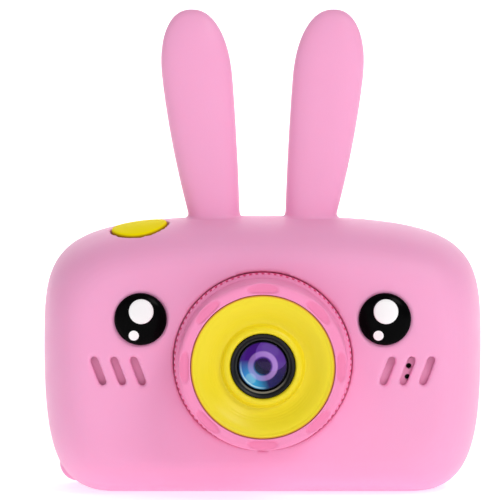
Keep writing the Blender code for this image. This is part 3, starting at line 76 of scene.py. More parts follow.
class Shader:
    """One material's node tree, with a Principled shader and short calls for its nodes."""

    def __init__(self, name: str) -> None:
        """Starts an empty tree with its shader and output."""
        self.material = bpy.data.materials.new(name)
        self.material.use_nodes = True
        self.tree = self.material.node_tree
        self.tree.nodes.clear()
        self.surface = self.node("ShaderNodeBsdfPrincipled")
        self.output = self.node("ShaderNodeOutputMaterial")
        self.link(self.surface.outputs["BSDF"], self.output.inputs["Surface"])
        self.place = self.node("ShaderNodeTexCoord").outputs["Object"]

    def node(self, kind: str, inputs: dict | None = None, **settings: object) -> bpy.types.Node:
        """Adds a node.

        Args:
            kind: the node's type name.
            inputs: values or sockets for its inputs, by name or index.
            settings: the node's own properties.

        Returns:
            The node.
        """
        made = self.tree.nodes.new(kind)
        for key, value in settings.items():
            setattr(made, key, value)
        for key, value in (inputs or {}).items():
            if isinstance(value, bpy.types.NodeSocket):
                self.link(value, made.inputs[key])
            else:
                made.inputs[key].default_value = value
        return made

    def link(self, source: bpy.types.NodeSocket, target: bpy.types.NodeSocket) -> None:
        """Joins two sockets."""
        self.tree.links.new(source, target)

    def set(self, **values: object) -> None:
        """Sets the shader's own sockets, named with underscores for spaces."""
        for key, value in values.items():
            socket = self.surface.inputs[key.replace("_", " ")]
            if isinstance(value, bpy.types.NodeSocket):
                self.link(value, socket)
            else:
                socket.default_value = value

    def math(self, operation: str, *values: object, clamp: bool = False) -> bpy.types.NodeSocket:
        """A Math node's result."""
        made = self.node("ShaderNodeMath", dict(enumerate(values)), operation=operation)
        made.use_clamp = clamp
        return made.outputs[0]

    def noise(self, scale: float, detail: float = 2.0, vector: object = None) -> bpy.types.NodeSocket:
        """Noise of a given number of features to the metre."""
        made = self.node(
            "ShaderNodeTexNoise",
            {"Vector": vector or self.place, "Scale": scale, "Detail": detail},
        )
        return made.outputs["Fac"]

    def ramp(self, factor: bpy.types.NodeSocket, *stops: tuple[float, Colour]) -> bpy.types.NodeSocket:
        """A colour ramp over a factor, with stops of (place, colour)."""
        made = self.node("ShaderNodeValToRGB", {"Fac": factor})
        elements = made.color_ramp.elements
        while len(elements) < len(stops):
            elements.new(0.5)
        for element, (place, colour) in zip(elements, stops):
            element.position = place
            element.color = (*colour, 1)
        return made.outputs["Color"]

    def blend(self, factor: object, first: object, second: object) -> bpy.types.NodeSocket:
        """One colour into another by a factor."""
        made = self.node("ShaderNodeMix", data_type="RGBA")
        for index, value in ((0, factor), (6, first), (7, second)):
            if isinstance(value, bpy.types.NodeSocket):
                self.link(value, made.inputs[index])
            else:
                made.inputs[index].default_value = (*value, 1) if isinstance(value, tuple) else value
        return made.outputs[2]

    def axes(self) -> tuple[bpy.types.NodeSocket, ...]:
        """Object coordinates as X, Y and Z."""
        return tuple(self.node("ShaderNodeSeparateXYZ", {0: self.place}).outputs)

    def cells(self, scale: float) -> bpy.types.NodeSocket:
        """The distance to the middle of the nearest cell of a cell pattern."""
        return self.node("ShaderNodeTexVoronoi", {"Vector": self.place, "Scale": scale}).outputs["Distance"]

    def band(self, value: bpy.types.NodeSocket, low: float, high: float, soft: float) -> bpy.types.NodeSocket:
        """A mask that is 1 between two levels and fades over soft outside them.

        Args:
            value: what is measured.
            low: where the band starts.
            high: where it ends.
            soft: how far each side fades.

        Returns:
            The mask's socket.
        """
        middle, half = (low + high) / 2, (high - low) / 2
        away = self.math("ABSOLUTE", self.math("SUBTRACT", value, middle))
        past = self.math("DIVIDE", self.math("SUBTRACT", away, half), soft)
        return self.math("SUBTRACT", 1.0, past, clamp=True)

    def bump(self, height: bpy.types.NodeSocket, strength: float, distance: float) -> None:
        """A bump on the shader's normal, chained with any already there."""
        given = {"Height": height, "Strength": strength, "Distance": distance}
        socket = self.surface.inputs["Normal"]
        if socket.links:
            given["Normal"] = socket.links[0].from_socket
        self.link(self.node("ShaderNodeBump", given).outputs["Normal"], socket)


@dataclass(frozen=True)
class Moulded:
    """A moulded plastic or rubber: its tint drifts a little, its skin is finely textured, and a second tint
    paints shade or a reflection where a mask attribute is set.
    """

    name: str
    colour: Colour
    drift: Colour
    roughness: float
    grain: float = 2200.0  # features to the metre
    relief: float = 0.06
    subsurface: float = 0.0
    coat: float = 0.0
    sheen: float = 0.0
    specular: float = 0.5
    painted_tint: Colour | None = None  # painted shade or reflection tint, full where the mask attribute is 1

    def make(self) -> bpy.types.Material:
        """The finished material."""
        shader = Shader(self.name)
        cloud = shader.noise(45.0, 3.0)
        tint = shader.blend(shader.math("MULTIPLY", cloud, 0.9), self.colour, self.drift)
        if self.painted_tint:
            # Painted shade or reflection, laid on where the mask attribute is set.
            recess = shader.node("ShaderNodeAttribute", attribute_name="recess").outputs["Fac"]
            tint = shader.blend(recess, tint, self.painted_tint)
        smear = shader.noise(260.0, 4.0)
        rough = shader.node(
            "ShaderNodeMapRange",
            {"Value": smear, 1: 0.3, 2: 0.7, 3: self.roughness - 0.04, 4: self.roughness + 0.06},
        ).outputs[0]
        shader.set(
            Base_Color=tint,
            Roughness=rough,
            Specular_IOR_Level=self.specular,
            Coat_Weight=self.coat,
            Coat_Roughness=0.08,
            Sheen_Weight=self.sheen,
            Sheen_Roughness=0.5,
        )
        if self.subsurface:
            shader.set(
                Subsurface_Weight=self.subsurface,
                Subsurface_Radius=(1.0, 0.45, 0.5),
                Subsurface_Scale=0.0012,
            )
        shader.bump(shader.noise(self.grain, 2.0), self.relief, 0.0001)
        shader.bump(shader.noise(90.0, 1.0), 0.05, 0.0006)
        return shader.material


@dataclass(frozen=True)
class GlassWithPaintedReflections:
    """A domed glass with painted violet and blue reflections, highlights and shade, in rings and sectors
    round the lens axis.
    """

    name: str
    alpha: float
    # whether the painted reflections, highlights and dark centre are laid on
    rings: bool

    @staticmethod
    def _reach(
        shader: Shader, x: bpy.types.NodeSocket, up: bpy.types.NodeSocket, right: float, above: float
    ) -> bpy.types.NodeSocket:
        """The distance from a point right of and above the lens axis, given in millimetres."""
        place = shader.node("ShaderNodeCombineXYZ", {"X": x, "Y": up}).outputs[0]
        ends = {0: place, 1: (right * MM, above * MM, 0.0)}
        return shader.node("ShaderNodeVectorMath", ends, operation="DISTANCE").outputs["Value"]

    def make(self) -> bpy.types.Material:
        """The finished material."""
        shader = Shader(self.name)
        x, _, z = shader.axes()
        up = shader.math("SUBTRACT", z, LENS_HEIGHT * MM)
        reach = self._reach(shader, x, up, 0.0, 0.0)
        radius = 5.5 * MM
        to_right = shader.math("MULTIPLY", x, 0.75 / radius)
        slant = shader.math("ADD", to_right, shader.math("MULTIPLY", up, 0.25 / radius))
        across = shader.math("MULTIPLY_ADD", slant, 0.5, 0.5, clamp=True)
        rise = shader.math("MULTIPLY_ADD", up, 0.5 / radius, 0.5, clamp=True)
        # Painted coating reflections: violet above and to the right, blue and cyan below and to the left.
        upper = shader.ramp(
            across,
            (0.0, linear(40, 30, 140)),
            (0.3, linear(66, 18, 128)),
            (0.65, linear(62, 16, 116)),
            (1.0, linear(50, 10, 86)),
        )
        lower = shader.ramp(
            across,
            (0.0, linear(30, 70, 214)),
            (0.3, linear(50, 170, 224)),
            (0.5, linear(30, 26, 96)),
            (1.0, linear(22, 8, 40)),
        )
        upper_share = shader.node("ShaderNodeMapRange", {0: rise, 1: 0.3, 2: 0.62}).outputs[0]
        tint = shader.blend(upper_share, lower, upper)
        if self.rings:
            # Painted reflection of a round lamp: a lilac disc above and right of the axis.
            painted_lamp_reflection = shader.band(self._reach(shader, x, up, 1.9, 2.4), -3.5 * MM, 3.4 * MM, 0.12 * MM)
            tint = shader.blend(shader.math("MULTIPLY", painted_lamp_reflection, 0.26), tint, linear(156, 104, 236))
            # Painted highlight: a pale cyan patch below and left of the axis.
            patch = shader.band(self._reach(shader, x, up, -2.6, -2.7), -1.2 * MM, 1.0 * MM, 0.3 * MM)
            tint = shader.blend(shader.math("MULTIPLY", patch, 0.4), tint, linear(160, 220, 236))
            # Painted shade: a dark centre for the unlit inside of the lens.
            painted_dark_centre = shader.band(reach, -2.0 * MM, 1.6 * MM, 0.4 * MM)
            tint = shader.blend(shader.math("MULTIPLY", painted_dark_centre, 0.85), tint, linear(8, 4, 26))
            # Painted reflection: a lilac ring, stronger towards the right.
            painted_lilac_reflection = shader.band(reach, 2.2 * MM, 3.0 * MM, 0.3 * MM)
            right = shader.math("MULTIPLY_ADD", across, 0.8, 0.08, clamp=True)
            tint = shader.blend(shader.math("MULTIPLY", painted_lilac_reflection, right), tint, linear(206, 160, 240))
            # Painted highlight: a thin white-cyan arc on an inner ring's edge, lower left.
            side = shader.math("SUBTRACT", 0.45, across, clamp=True)
            below = shader.math("SUBTRACT", 0.6, rise, clamp=True)
            where = shader.math("MULTIPLY", shader.math("MULTIPLY", side, below), 9.0, clamp=True)
            arc = shader.math("MULTIPLY", shader.band(reach, 4.6 * MM, 4.8 * MM, 0.12 * MM), where)
            tint = shader.blend(arc, tint, linear(196, 240, 250))
            rim = shader.band(reach, 5.1 * MM, 6.5 * MM, 0.25 * MM)
            tint = shader.blend(rim, tint, linear(8, 7, 12))
        shader.set(
            Base_Color=tint,
            Roughness=shader.math("MULTIPLY_ADD", shader.noise(400.0), 0.02, 0.04),
            Alpha=self.alpha,
            Specular_IOR_Level=0.12,
            Coat_Weight=0.12,
            Coat_Roughness=0.02,
        )
        return shader.material


@dataclass(frozen=True)
class Metal:
    """A bright metal with fine drawn lines or a rolled, slightly crinkled skin."""

    name: str
    colour: Colour
    roughness: float
    stretch: tuple[float, float, float] = (40.0, 900.0, 900.0)
    relief: float = 0.04
    crinkle: float = 0.0

    def make(self) -> bpy.types.Material:
        """The finished material."""
        shader = Shader(self.name)
        lines = shader.node("ShaderNodeMapping", {"Vector": shader.place, "Scale": self.stretch}).outputs[0]
        brushed = shader.noise(4.0, 4.0, lines)
        dull = tuple(level * 0.82 for level in self.colour)
        shader.set(
            Base_Color=shader.blend(brushed, self.colour, dull),
            Metallic=1.0,
            Roughness=shader.math("MULTIPLY_ADD", brushed, 0.16, self.roughness - 0.08),
        )
        shader.bump(brushed, self.relief, 0.0001)
        if self.crinkle:
            shader.bump(shader.noise(220.0, 3.0), self.crinkle, 0.0004)
        return shader.material


@dataclass(frozen=True)
class Board:
    """A circuit board: solder mask over copper tracks, with rows of tinned pads and vias."""

    name: str

    def make(self) -> bpy.types.Material:
        """The finished material."""
        shader = Shader(self.name)
        x, _, z = shader.axes()
        grid = shader.node("ShaderNodeCombineXYZ", {"X": x, "Y": z}).outputs[0]
        tracks = shader.node(
            "ShaderNodeTexBrick",
            {
                "Vector": grid,
                "Scale": 320.0,
                "Mortar Size": 0.09,
                "Mortar Smooth": 0.3,
                "Brick Width": 1.3,
                "Row Height": 0.34,
            },
            offset=0.37,
        ).outputs["Fac"]
        patch = shader.math("GREATER_THAN", shader.noise(120.0, 1.0), 0.48)
        copper = shader.math("MULTIPLY", tracks, patch)
        vias = shader.node("ShaderNodeTexVoronoi", {"Vector": grid, "Scale": 420.0, "Randomness": 0.85})
        dots = shader.math("LESS_THAN", vias.outputs["Distance"], 0.14)
        mask = shader.blend(copper, linear(14, 92, 48), linear(34, 132, 66))
        shader.set(
            Base_Color=shader.blend(dots, mask, linear(196, 190, 172)),
            Roughness=shader.math("MULTIPLY_ADD", copper, -0.12, 0.42),
            Coat_Weight=0.35,
            Coat_Roughness=0.2,
        )
        shader.bump(copper, 0.35, 0.00004)
        return shader.material


@dataclass(frozen=True)
class Flex:
    """A thin amber film over parallel copper tracks."""

    name: str

    def make(self) -> bpy.types.Material:
        """The finished material."""
        shader = Shader(self.name)
        x = shader.axes()[0]
        stripes = shader.math("PINGPONG", shader.math("MULTIPLY", x, 1.0 / (0.5 * MM)), 0.5)
        lines = shader.math("GREATER_THAN", stripes, 0.27)
        shader.set(
            Base_Color=shader.blend(lines, linear(206, 132, 40), linear(232, 164, 72)),
            Roughness=shader.math("MULTIPLY_ADD", lines, -0.1, 0.38),
            Coat_Weight=0.5,
        )
        shader.bump(lines, 0.3, 0.00003)
        return shader.material


@dataclass(frozen=True)
class Foam:
    """A closed-cell foam."""

    name: str
    colour: Colour

    def make(self) -> bpy.types.Material:
        """The finished material."""
        shader = Shader(self.name)
        cells = shader.cells(2600.0)
        dark = tuple(level * 0.5 for level in self.colour)
        shader.set(Base_Color=shader.blend(cells, self.colour, dark), Roughness=0.95)
        shader.bump(cells, 0.5, 0.0002)
        return shader.material


@dataclass(frozen=True)
class ScreenGlass:
    """A screen's clear window: a black printed border round a faintly grey lit area."""

    name: str
    centre: Point
    size: Point

    def make(self) -> bpy.types.Material:
        """The finished material."""
        shader = Shader(self.name)
        x, _, z = shader.axes()
        inside = None
        for axis, middle, span in ((x, self.centre[0], self.size[0]), (z, self.centre[1], self.size[1])):
            mask = shader.band(axis, (middle - span / 2) * MM, (middle + span / 2) * MM, 0.12 * MM)
            inside = mask if inside is None else shader.math("MULTIPLY", inside, mask)
        cells = shader.cells(5200.0)
        panel = shader.blend(cells, linear(44, 48, 56), linear(52, 56, 66))
        shader.set(
            Base_Color=shader.blend(inside, linear(8, 8, 10), panel),
            Roughness=shader.math("MULTIPLY_ADD", shader.noise(180.0), 0.05, 0.05),
            Coat_Weight=1.0,
            Coat_Roughness=0.02,
        )
        return shader.material


class Finishes(Enum):
    """Every finish of the camera."""

    SILICONE = Moulded(
        "silicone_pink",
        linear(246, 165, 207),
        linear(249, 172, 213),
        0.46,
        grain=2600.0,
        relief=0.09,
        subsurface=0.18,
        sheen=0.12,
        specular=0.35,
    )
    SHELL = Moulded("shell_pink", linear(250, 166, 208), linear(252, 172, 213), 0.36, subsurface=0.08)
    # RING's second tint paints shade in the dents and on the floor between the teeth.
    RING = Moulded(
        "ring_pink",
        linear(247, 144, 190),
        linear(249, 151, 197),
        0.4,
        relief=0.05,
        subsurface=0.08,
        specular=0.3,
        painted_tint=linear(228, 66, 124),
    )
    # DISH's second tint paints the dark shadow line of the gap round the rim.
    DISH = Moulded(
        "dish_yellow",
        linear(238, 216, 30),
        linear(240, 221, 40),
        0.36,
        relief=0.03,
        subsurface=0.06,
        specular=0.3,
        painted_tint=linear(205, 120, 40),
    )
    # BUTTON's second tint paints shade on the cap's side in the gap under it.
    BUTTON = Moulded(
        "button_yellow",
        linear(252, 232, 0),
        linear(253, 236, 0),
        0.5,
        relief=0.04,
        specular=0.02,
        painted_tint=linear(170, 130, 20),
    )
    EYE = Moulded(
        "eye_black", (0.0012, 0.0012, 0.0014), (0.0018, 0.0018, 0.002), 0.2, relief=0.01, specular=0.03
    )
    PRINT = Moulded("white_print", linear(250, 250, 250), linear(255, 255, 255), 0.4, relief=0.02)
    LEGEND = Moulded("grey_legend", linear(92, 78, 40), linear(100, 86, 46), 0.5, relief=0.03)
    LIP = Moulded(
        "lip_black", linear(10, 10, 11), linear(14, 14, 15), 0.42, grain=3800.0, relief=0.12, specular=0.3
    )
    # CONE's second tint paints a warm reflection towards the cone's bottom.
    CONE = Moulded(
        "cone_grey",
        linear(22, 22, 23),
        linear(28, 28, 28),
        0.55,
        grain=3800.0,
        relief=0.12,
        painted_tint=linear(150, 142, 122),
    )
    BARREL = Moulded("barrel_black", linear(16, 16, 17), linear(24, 24, 25), 0.5, grain=3800.0, relief=0.1)
    CHIP = Moulded("chip_black", linear(30, 30, 32), linear(40, 40, 42), 0.5, grain=5200.0, relief=0.2)
    CARD = Moulded("card_black", linear(26, 26, 30), linear(34, 34, 38), 0.4, grain=5200.0, relief=0.12)
    PANEL = Moulded("panel_grey", linear(150, 152, 156), linear(164, 166, 170), 0.35)
    NYLON = Moulded("nylon_white", linear(232, 230, 222), linear(238, 236, 230), 0.5, subsurface=0.1)
    LEAD_RED = Moulded("lead_red", linear(206, 32, 30), linear(214, 42, 38), 0.45)
    LEAD_BLACK = Moulded("lead_black", linear(24, 24, 24), linear(34, 34, 34), 0.45)
    GLASS = GlassWithPaintedReflections("coated_glass", 0.93, True)
    ELEMENT = GlassWithPaintedReflections("element_glass", 1.0, False)
    FILTER = Moulded("filter_cyan", linear(96, 176, 190), linear(110, 186, 200), 0.12, relief=0.0, coat=1.0)
    STEEL = Metal("bright_steel", linear(198, 200, 204), 0.3)
    GOLD = Metal("contact_gold", linear(228, 186, 92), 0.3, relief=0.02)
    FOIL = Metal(
        "battery_foil", linear(206, 210, 216), 0.4, stretch=(300.0, 300.0, 60.0), relief=0.06, crinkle=0.5
    )
    BOARD = Board("board_green")
    FLEX = Flex("amber_flex")
    FOAM = Foam("grey_foam", linear(92, 92, 96))
    SCREEN = ScreenGlass("screen_glass", (8.0, LENS_HEIGHT), (39.0, 27.6))

    @property
    def material(self) -> bpy.types.Material:
        """This finish's material, made at its first use."""
        name = f"{self.value.name}_finish"
        made = bpy.data.materials.get(name)
        if made is None:
            made = self.value.make()
            made.name = name
        return made


# Meshes, in millimetres until they become an object


def piece(
    name: str, bm: bmesh.types.BMesh, finish: Finishes | None = None, weld: float = 1e-4
) -> bpy.types.Object:
    """A new object from a mesh in millimetres, with its doubles merged and its faces outwards.

    Args:
        name: the object's name.
        bm: the mesh, which is freed.
        finish: its finish, if it keeps this mesh.
        weld: how close two points merge, in millimetres.

    Returns:
        The object, smooth shaded.
    """
    bmesh.ops.remove_doubles(bm, verts=bm.verts, dist=weld)
    bmesh.ops.recalc_face_normals(bm, faces=bm.faces)
    bmesh.ops.scale(bm, vec=(MM, MM, MM), verts=bm.verts)
    for face in bm.faces:
        face.smooth = True
    mesh = bpy.data.meshes.new(name)
    bm.to_mesh(mesh)
    bm.free()
    made = bpy.data.objects.new(name, mesh)
    bpy.context.collection.objects.link(made)
    if finish:
        mesh.materials.append(finish.material)
    return made


def rounded(profile: Sequence[Corner], closed: bool, steps: int = 5) -> list[Point]:
    """A profile of (radius, height, fillet) corners as plain points, with its corners rounded.

    Args:
        profile: the corners.
        closed: whether the last corner joins the first.
        steps: how many spans each rounding has.

    Returns:
        The profile's points.
    """
    points = []
    for index, (radius, height, fillet) in enumerate(profile):
        here = Vector((radius, height))
        if fillet <= 0 or (not closed and index in (0, len(profile) - 1)):
            points.append(tuple(here))
            continue
        before = Vector(profile[index - 1][:2]) - here
        after = Vector(profile[(index + 1) % len(profile)][:2]) - here
        start = here + before.normalized() * min(fillet, before.length * 0.49)
        end = here + after.normalized() * min(fillet, after.length * 0.49)
        for step in range(steps + 1):
            share = step / steps
            bend = start * (1 - share) ** 2 + here * 2 * share * (1 - share) + end * share**2
            points.append(tuple(bend))
    return points


def lathe(
    name: str,
    profile: Sequence[Point],
    place: Matrix,
    finish: Finishes | None = None,
    steps: int = 96,
    closed: bool = False,
) -> bpy.types.Object:
    """A profile of (radius, height) turned round a frame's +Z.

    Args:
        name: the object's name.
        profile: the points; an open one starts and ends on the axis.
        place: the frame, in millimetres.
        finish: its finish.
        steps: sides round the axis.
        closed: whether the profile is a loop off the axis.

    Returns:
        The object.
    """
    bm = bmesh.new()
    rows = []
    for radius, height in profile:
        if radius < 1e-6:
            rows.append([bm.verts.new(place @ Vector((0, 0, height)))] * steps)
            continue
        rows.append(
            [
                bm.verts.new(place @ Vector((radius * math.cos(turn), radius * math.sin(turn), height)))
                for turn in (2 * math.pi * step / steps for step in range(steps))
            ]
        )
    for lower, upper in list(zip(rows, rows[1:])) + ([(rows[-1], rows[0])] if closed else []):
        for step in range(steps):
            following = (step + 1) % steps
            corners = [lower[step], lower[following], upper[following], upper[step]]
            distinct = list(dict.fromkeys(corners))
            if len(distinct) > 2:
                bm.faces.new(distinct)
    return piece(name, bm, finish)


def prism(
    name: str,
    outline: Sequence[Point],
    low: float,
    high: float,
    place: Matrix = Matrix.Identity(4),
    finish: Finishes | None = None,
) -> bpy.types.Object:
    """A flat outline in a frame's XY plane, raised from one height to another.

    Args:
        name: the object's name.
        outline: the corners in order.
        low: its lower height.
        high: its upper height.
        place: the frame, in millimetres.
        finish: its finish.

    Returns:
        The object.
    """
    bm = bmesh.new()
    ends = [[bm.verts.new(place @ Vector((x, y, height))) for x, y in outline] for height in (low, high)]
    bm.faces.new(ends[0][::-1])
    bm.faces.new(ends[1])
    for step in range(len(outline)):
        following = (step + 1) % len(outline)
        bm.faces.new((ends[0][step], ends[0][following], ends[1][following], ends[1][step]))
    return piece(name, bm, finish)


def disc(radius: float, steps: int = 48, squash: float = 1.0) -> list[Point]:
    """A circle's or an ellipse's corners round the origin."""
    turns = [2 * math.pi * step / steps for step in range(steps)]
    return [(radius * math.cos(turn), radius * squash * math.sin(turn)) for turn in turns]


def box_outline(
    width: float, height: float, radius: float, centre: Point = (0, 0), steps: int = 8
) -> list[Point]:
    """A rectangle's outline with rounded corners.

    Args:
        width: its width.
        height: its height.
        radius: its corners' radius.
        centre: its middle.
        steps: spans in each corner.

    Returns:
        The corners in order.
    """
    points = []
    for corner, (sx, sy) in enumerate(((1, 1), (-1, 1), (-1, -1), (1, -1))):
        for step in range(steps + 1):
            turn = math.pi / 2 * (corner + step / steps)
            points.append(
                (
                    centre[0] + sx * (width / 2 - radius) + radius * math.cos(turn),
                    centre[1] + sy * (height / 2 - radius) + radius * math.sin(turn),
                )
            )
    return points


def apply_modifiers(made: bpy.types.Object) -> bpy.types.Object:
    """Bakes an object's modifiers into its mesh."""
    graph = bpy.context.evaluated_depsgraph_get()
    graph.update()
    result = bpy.data.meshes.new_from_object(made.evaluated_get(graph), depsgraph=graph)
    made.modifiers.clear()
    old, made.data = made.data, result
    if old.users == 0:
        bpy.data.meshes.remove(old)
    return made


def carve(
    target: bpy.types.Object, cutters: Iterable[bpy.types.Object], operation: str = "DIFFERENCE"
) -> bpy.types.Object:
    """Cuts away, joins or keeps what the cutters share, and removes the cutters.

    Args:
        target: the object that changes.
        cutters: the objects used up.
        operation: DIFFERENCE, UNION or INTERSECT.

    Returns:
        The target.
    """
    for cutter in cutters:
        made = target.modifiers.new("carve", "BOOLEAN")
        made.operation, made.object, made.solver = operation, cutter, "EXACT"
        apply_modifiers(target)
        bpy.data.objects.remove(cutter)
    return target


def soften(made: bpy.types.Object, voxel: float, rounds: int, triangles: int) -> bpy.types.Object:
    """Rounds every edge a little: remeshed finely, smoothed, then thinned where it is flat.

    Args:
        made: the object.
        voxel: the remesh's cell, in millimetres.
        rounds: how often it is smoothed.
        triangles: how many triangles it keeps.

    Returns:
        The object.
    """
    remesh = made.modifiers.new("remesh", "REMESH")
    remesh.mode, remesh.voxel_size, remesh.use_smooth_shade = "VOXEL", voxel * MM, True
    smooth = made.modifiers.new("smooth", "SMOOTH")
    smooth.factor, smooth.iterations = 0.5, rounds
    apply_modifiers(made)
    faces = sum(len(face.vertices) - 2 for face in made.data.polygons)
    if faces > triangles:
        thin = made.modifiers.new("thin", "DECIMATE")
        thin.ratio = triangles / faces
        apply_modifiers(made)
    for face in made.data.polygons:
        face.use_smooth = True
    return made


def bevelled(
    made: bpy.types.Object, width: float, segments: int = 3, angle: float = 35.0
) -> bpy.types.Object:
    """Rounds an object's sharp edges by a width in millimetres."""
    bevel = made.modifiers.new("bevel", "BEVEL")
    bevel.width, bevel.segments, bevel.limit_method = width * MM, segments, "ANGLE"
    bevel.angle_limit, bevel.harden_normals = math.radians(angle), False
    return apply_modifiers(made)


def crisp(made: bpy.types.Object, angle: float = 35.0) -> bpy.types.Object:
    """Keeps an object's edges sharp where its faces turn by more than an angle."""
    made.data.set_sharp_from_angle(angle=math.radians(angle))
    return made


def dress(made: bpy.types.Object, finish: Finishes) -> bpy.types.Object:
    """Gives every face of an object one finish."""
    made.data.materials.clear()
    made.data.materials.append(finish.material)
    return made


def settle(made: bpy.types.Object, body: str, slot: str, *nodes: str) -> None:
    """Sets a finished piece on its body.

    Args:
        made: the piece.
        body: the body that it rides on.
        slot: the record's material slot of its finish; not used.
        nodes: the solids that it stands for.
    """
    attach(made, body)
    if nodes:
        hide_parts(*nodes)
    LOG.info("%s: %d faces on %s", made.name, len(made.data.polygons), body)


# Repeats


class Array(Enum):
    """How a repeat lays out its copies."""

    RING = "ring"
    ROW = "row"
    PLACES = "places"


class Repeat:
    """Geometry Nodes trees that copy one small piece round a ring, along a row or to places."""

    def __init__(self, kind: Array) -> None:
        """Builds the tree of one kind."""
        self.kind = kind
        self.tree = bpy.data.node_groups.new(f"repeat_{kind.value}", "GeometryNodeTree")
        self.sockets: dict[str, str] = {}
        self._input("Geometry", "NodeSocketGeometry")
        self._input("Piece", "NodeSocketObject")
        self._input("Count", "NodeSocketInt")
        self._input("Radius", "NodeSocketFloat")
        self._input("Step", "NodeSocketVector")
        self._input("Start", "NodeSocketVector")
        self._input("Tilt", "NodeSocketVector")
        self._input("Finish", "NodeSocketMaterial")
        self.tree.interface.new_socket("Geometry", in_out="OUTPUT", socket_type="NodeSocketGeometry")
        self._build()

    def _input(self, name: str, kind: str) -> None:
        """Adds a named input and keeps its identifier."""
        self.sockets[name] = self.tree.interface.new_socket(name, in_out="INPUT", socket_type=kind).identifier

    def _node(self, kind: str, **settings: object) -> bpy.types.Node:
        """Adds a node to the tree."""
        made = self.tree.nodes.new(kind)
        for key, value in settings.items():
            setattr(made, key, value)
        return made

    def _build(self) -> None:
        """Points, copies on them, real geometry, then the finish."""
        link = self.tree.links.new
        given = self._node("NodeGroupInput")
        source = self._node("GeometryNodeObjectInfo")
        link(given.outputs["Piece"], source.inputs["Object"])
        copies = self._node("GeometryNodeInstanceOnPoints")
        link(source.outputs["Geometry"], copies.inputs["Instance"])
        if self.kind is Array.RING:
            ring = self._node("GeometryNodeMeshCircle")
            link(given.outputs["Count"], ring.inputs["Vertices"])
            link(given.outputs["Radius"], ring.inputs["Radius"])
            link(ring.outputs[0], copies.inputs["Points"])
            full = self._node("ShaderNodeMath", operation="DIVIDE")
            full.inputs[0].default_value = 2 * math.pi
            link(given.outputs["Count"], full.inputs[1])
            turn = self._node("ShaderNodeMath", operation="MULTIPLY")
            link(self._node("GeometryNodeInputIndex").outputs[0], turn.inputs[0])
            link(full.outputs[0], turn.inputs[1])
            spin = self._node("ShaderNodeCombineXYZ")
            link(turn.outputs[0], spin.inputs["Z"])
            euler = self._node("FunctionNodeEulerToRotation")
            link(spin.outputs[0], euler.inputs[0])
            link(euler.outputs[0], copies.inputs["Rotation"])
        elif self.kind is Array.ROW:
            row = self._node("GeometryNodeMeshLine")
            link(given.outputs["Count"], row.inputs["Count"])
            link(given.outputs["Step"], row.inputs["Offset"])
            link(row.outputs[0], copies.inputs["Points"])
        else:
            link(given.outputs["Geometry"], copies.inputs["Points"])
        place = self._node("GeometryNodeTransform")
        real = self._node("GeometryNodeRealizeInstances")
        paint = self._node("GeometryNodeSetMaterial")
        done = self._node("NodeGroupOutput")
        link(copies.outputs[0], real.inputs[0])
        link(real.outputs[0], place.inputs["Geometry"])
        link(given.outputs["Start"], place.inputs["Translation"])
        tilt = self._node("FunctionNodeEulerToRotation")
        link(given.outputs["Tilt"], tilt.inputs[0])
        link(tilt.outputs[0], place.inputs["Rotation"])
        final = self._node("GeometryNodeRealizeInstances")
        link(place.outputs[0], final.inputs[0])
        link(final.outputs[0], paint.inputs["Geometry"])
        link(given.outputs["Finish"], paint.inputs["Material"])
        link(paint.outputs[0], done.inputs[0])

    def make(
        self,
        name: str,
        copy_of: bpy.types.Object,
        finish: Finishes,
        places: Sequence[Corner] = (),
        **values: object,
    ) -> bpy.types.Object:
        """Runs the tree and keeps its result as a plain mesh.

        Args:
            name: the new object's name.
            copy_of: the small piece, used up.
            finish: the finish of the copies.
            places: the points that a PLACES repeat fills, in millimetres.
            values: the tree's inputs by name.

        Returns:
            The object.
        """
        mesh = bpy.data.meshes.new(name)
        mesh.from_pydata([Vector(place) * MM for place in places], [], [])
        made = bpy.data.objects.new(name, mesh)
        bpy.context.collection.objects.link(made)
        nodes = made.modifiers.new("repeat", "NODES")
        nodes.node_group = self.tree
        nodes[self.sockets["Piece"]] = copy_of
        nodes[self.sockets["Finish"]] = finish.material
        for key, value in values.items():
            nodes[self.sockets[key]] = value
        apply_modifiers(made)
        bpy.data.objects.remove(copy_of)
        return made


# The body's form


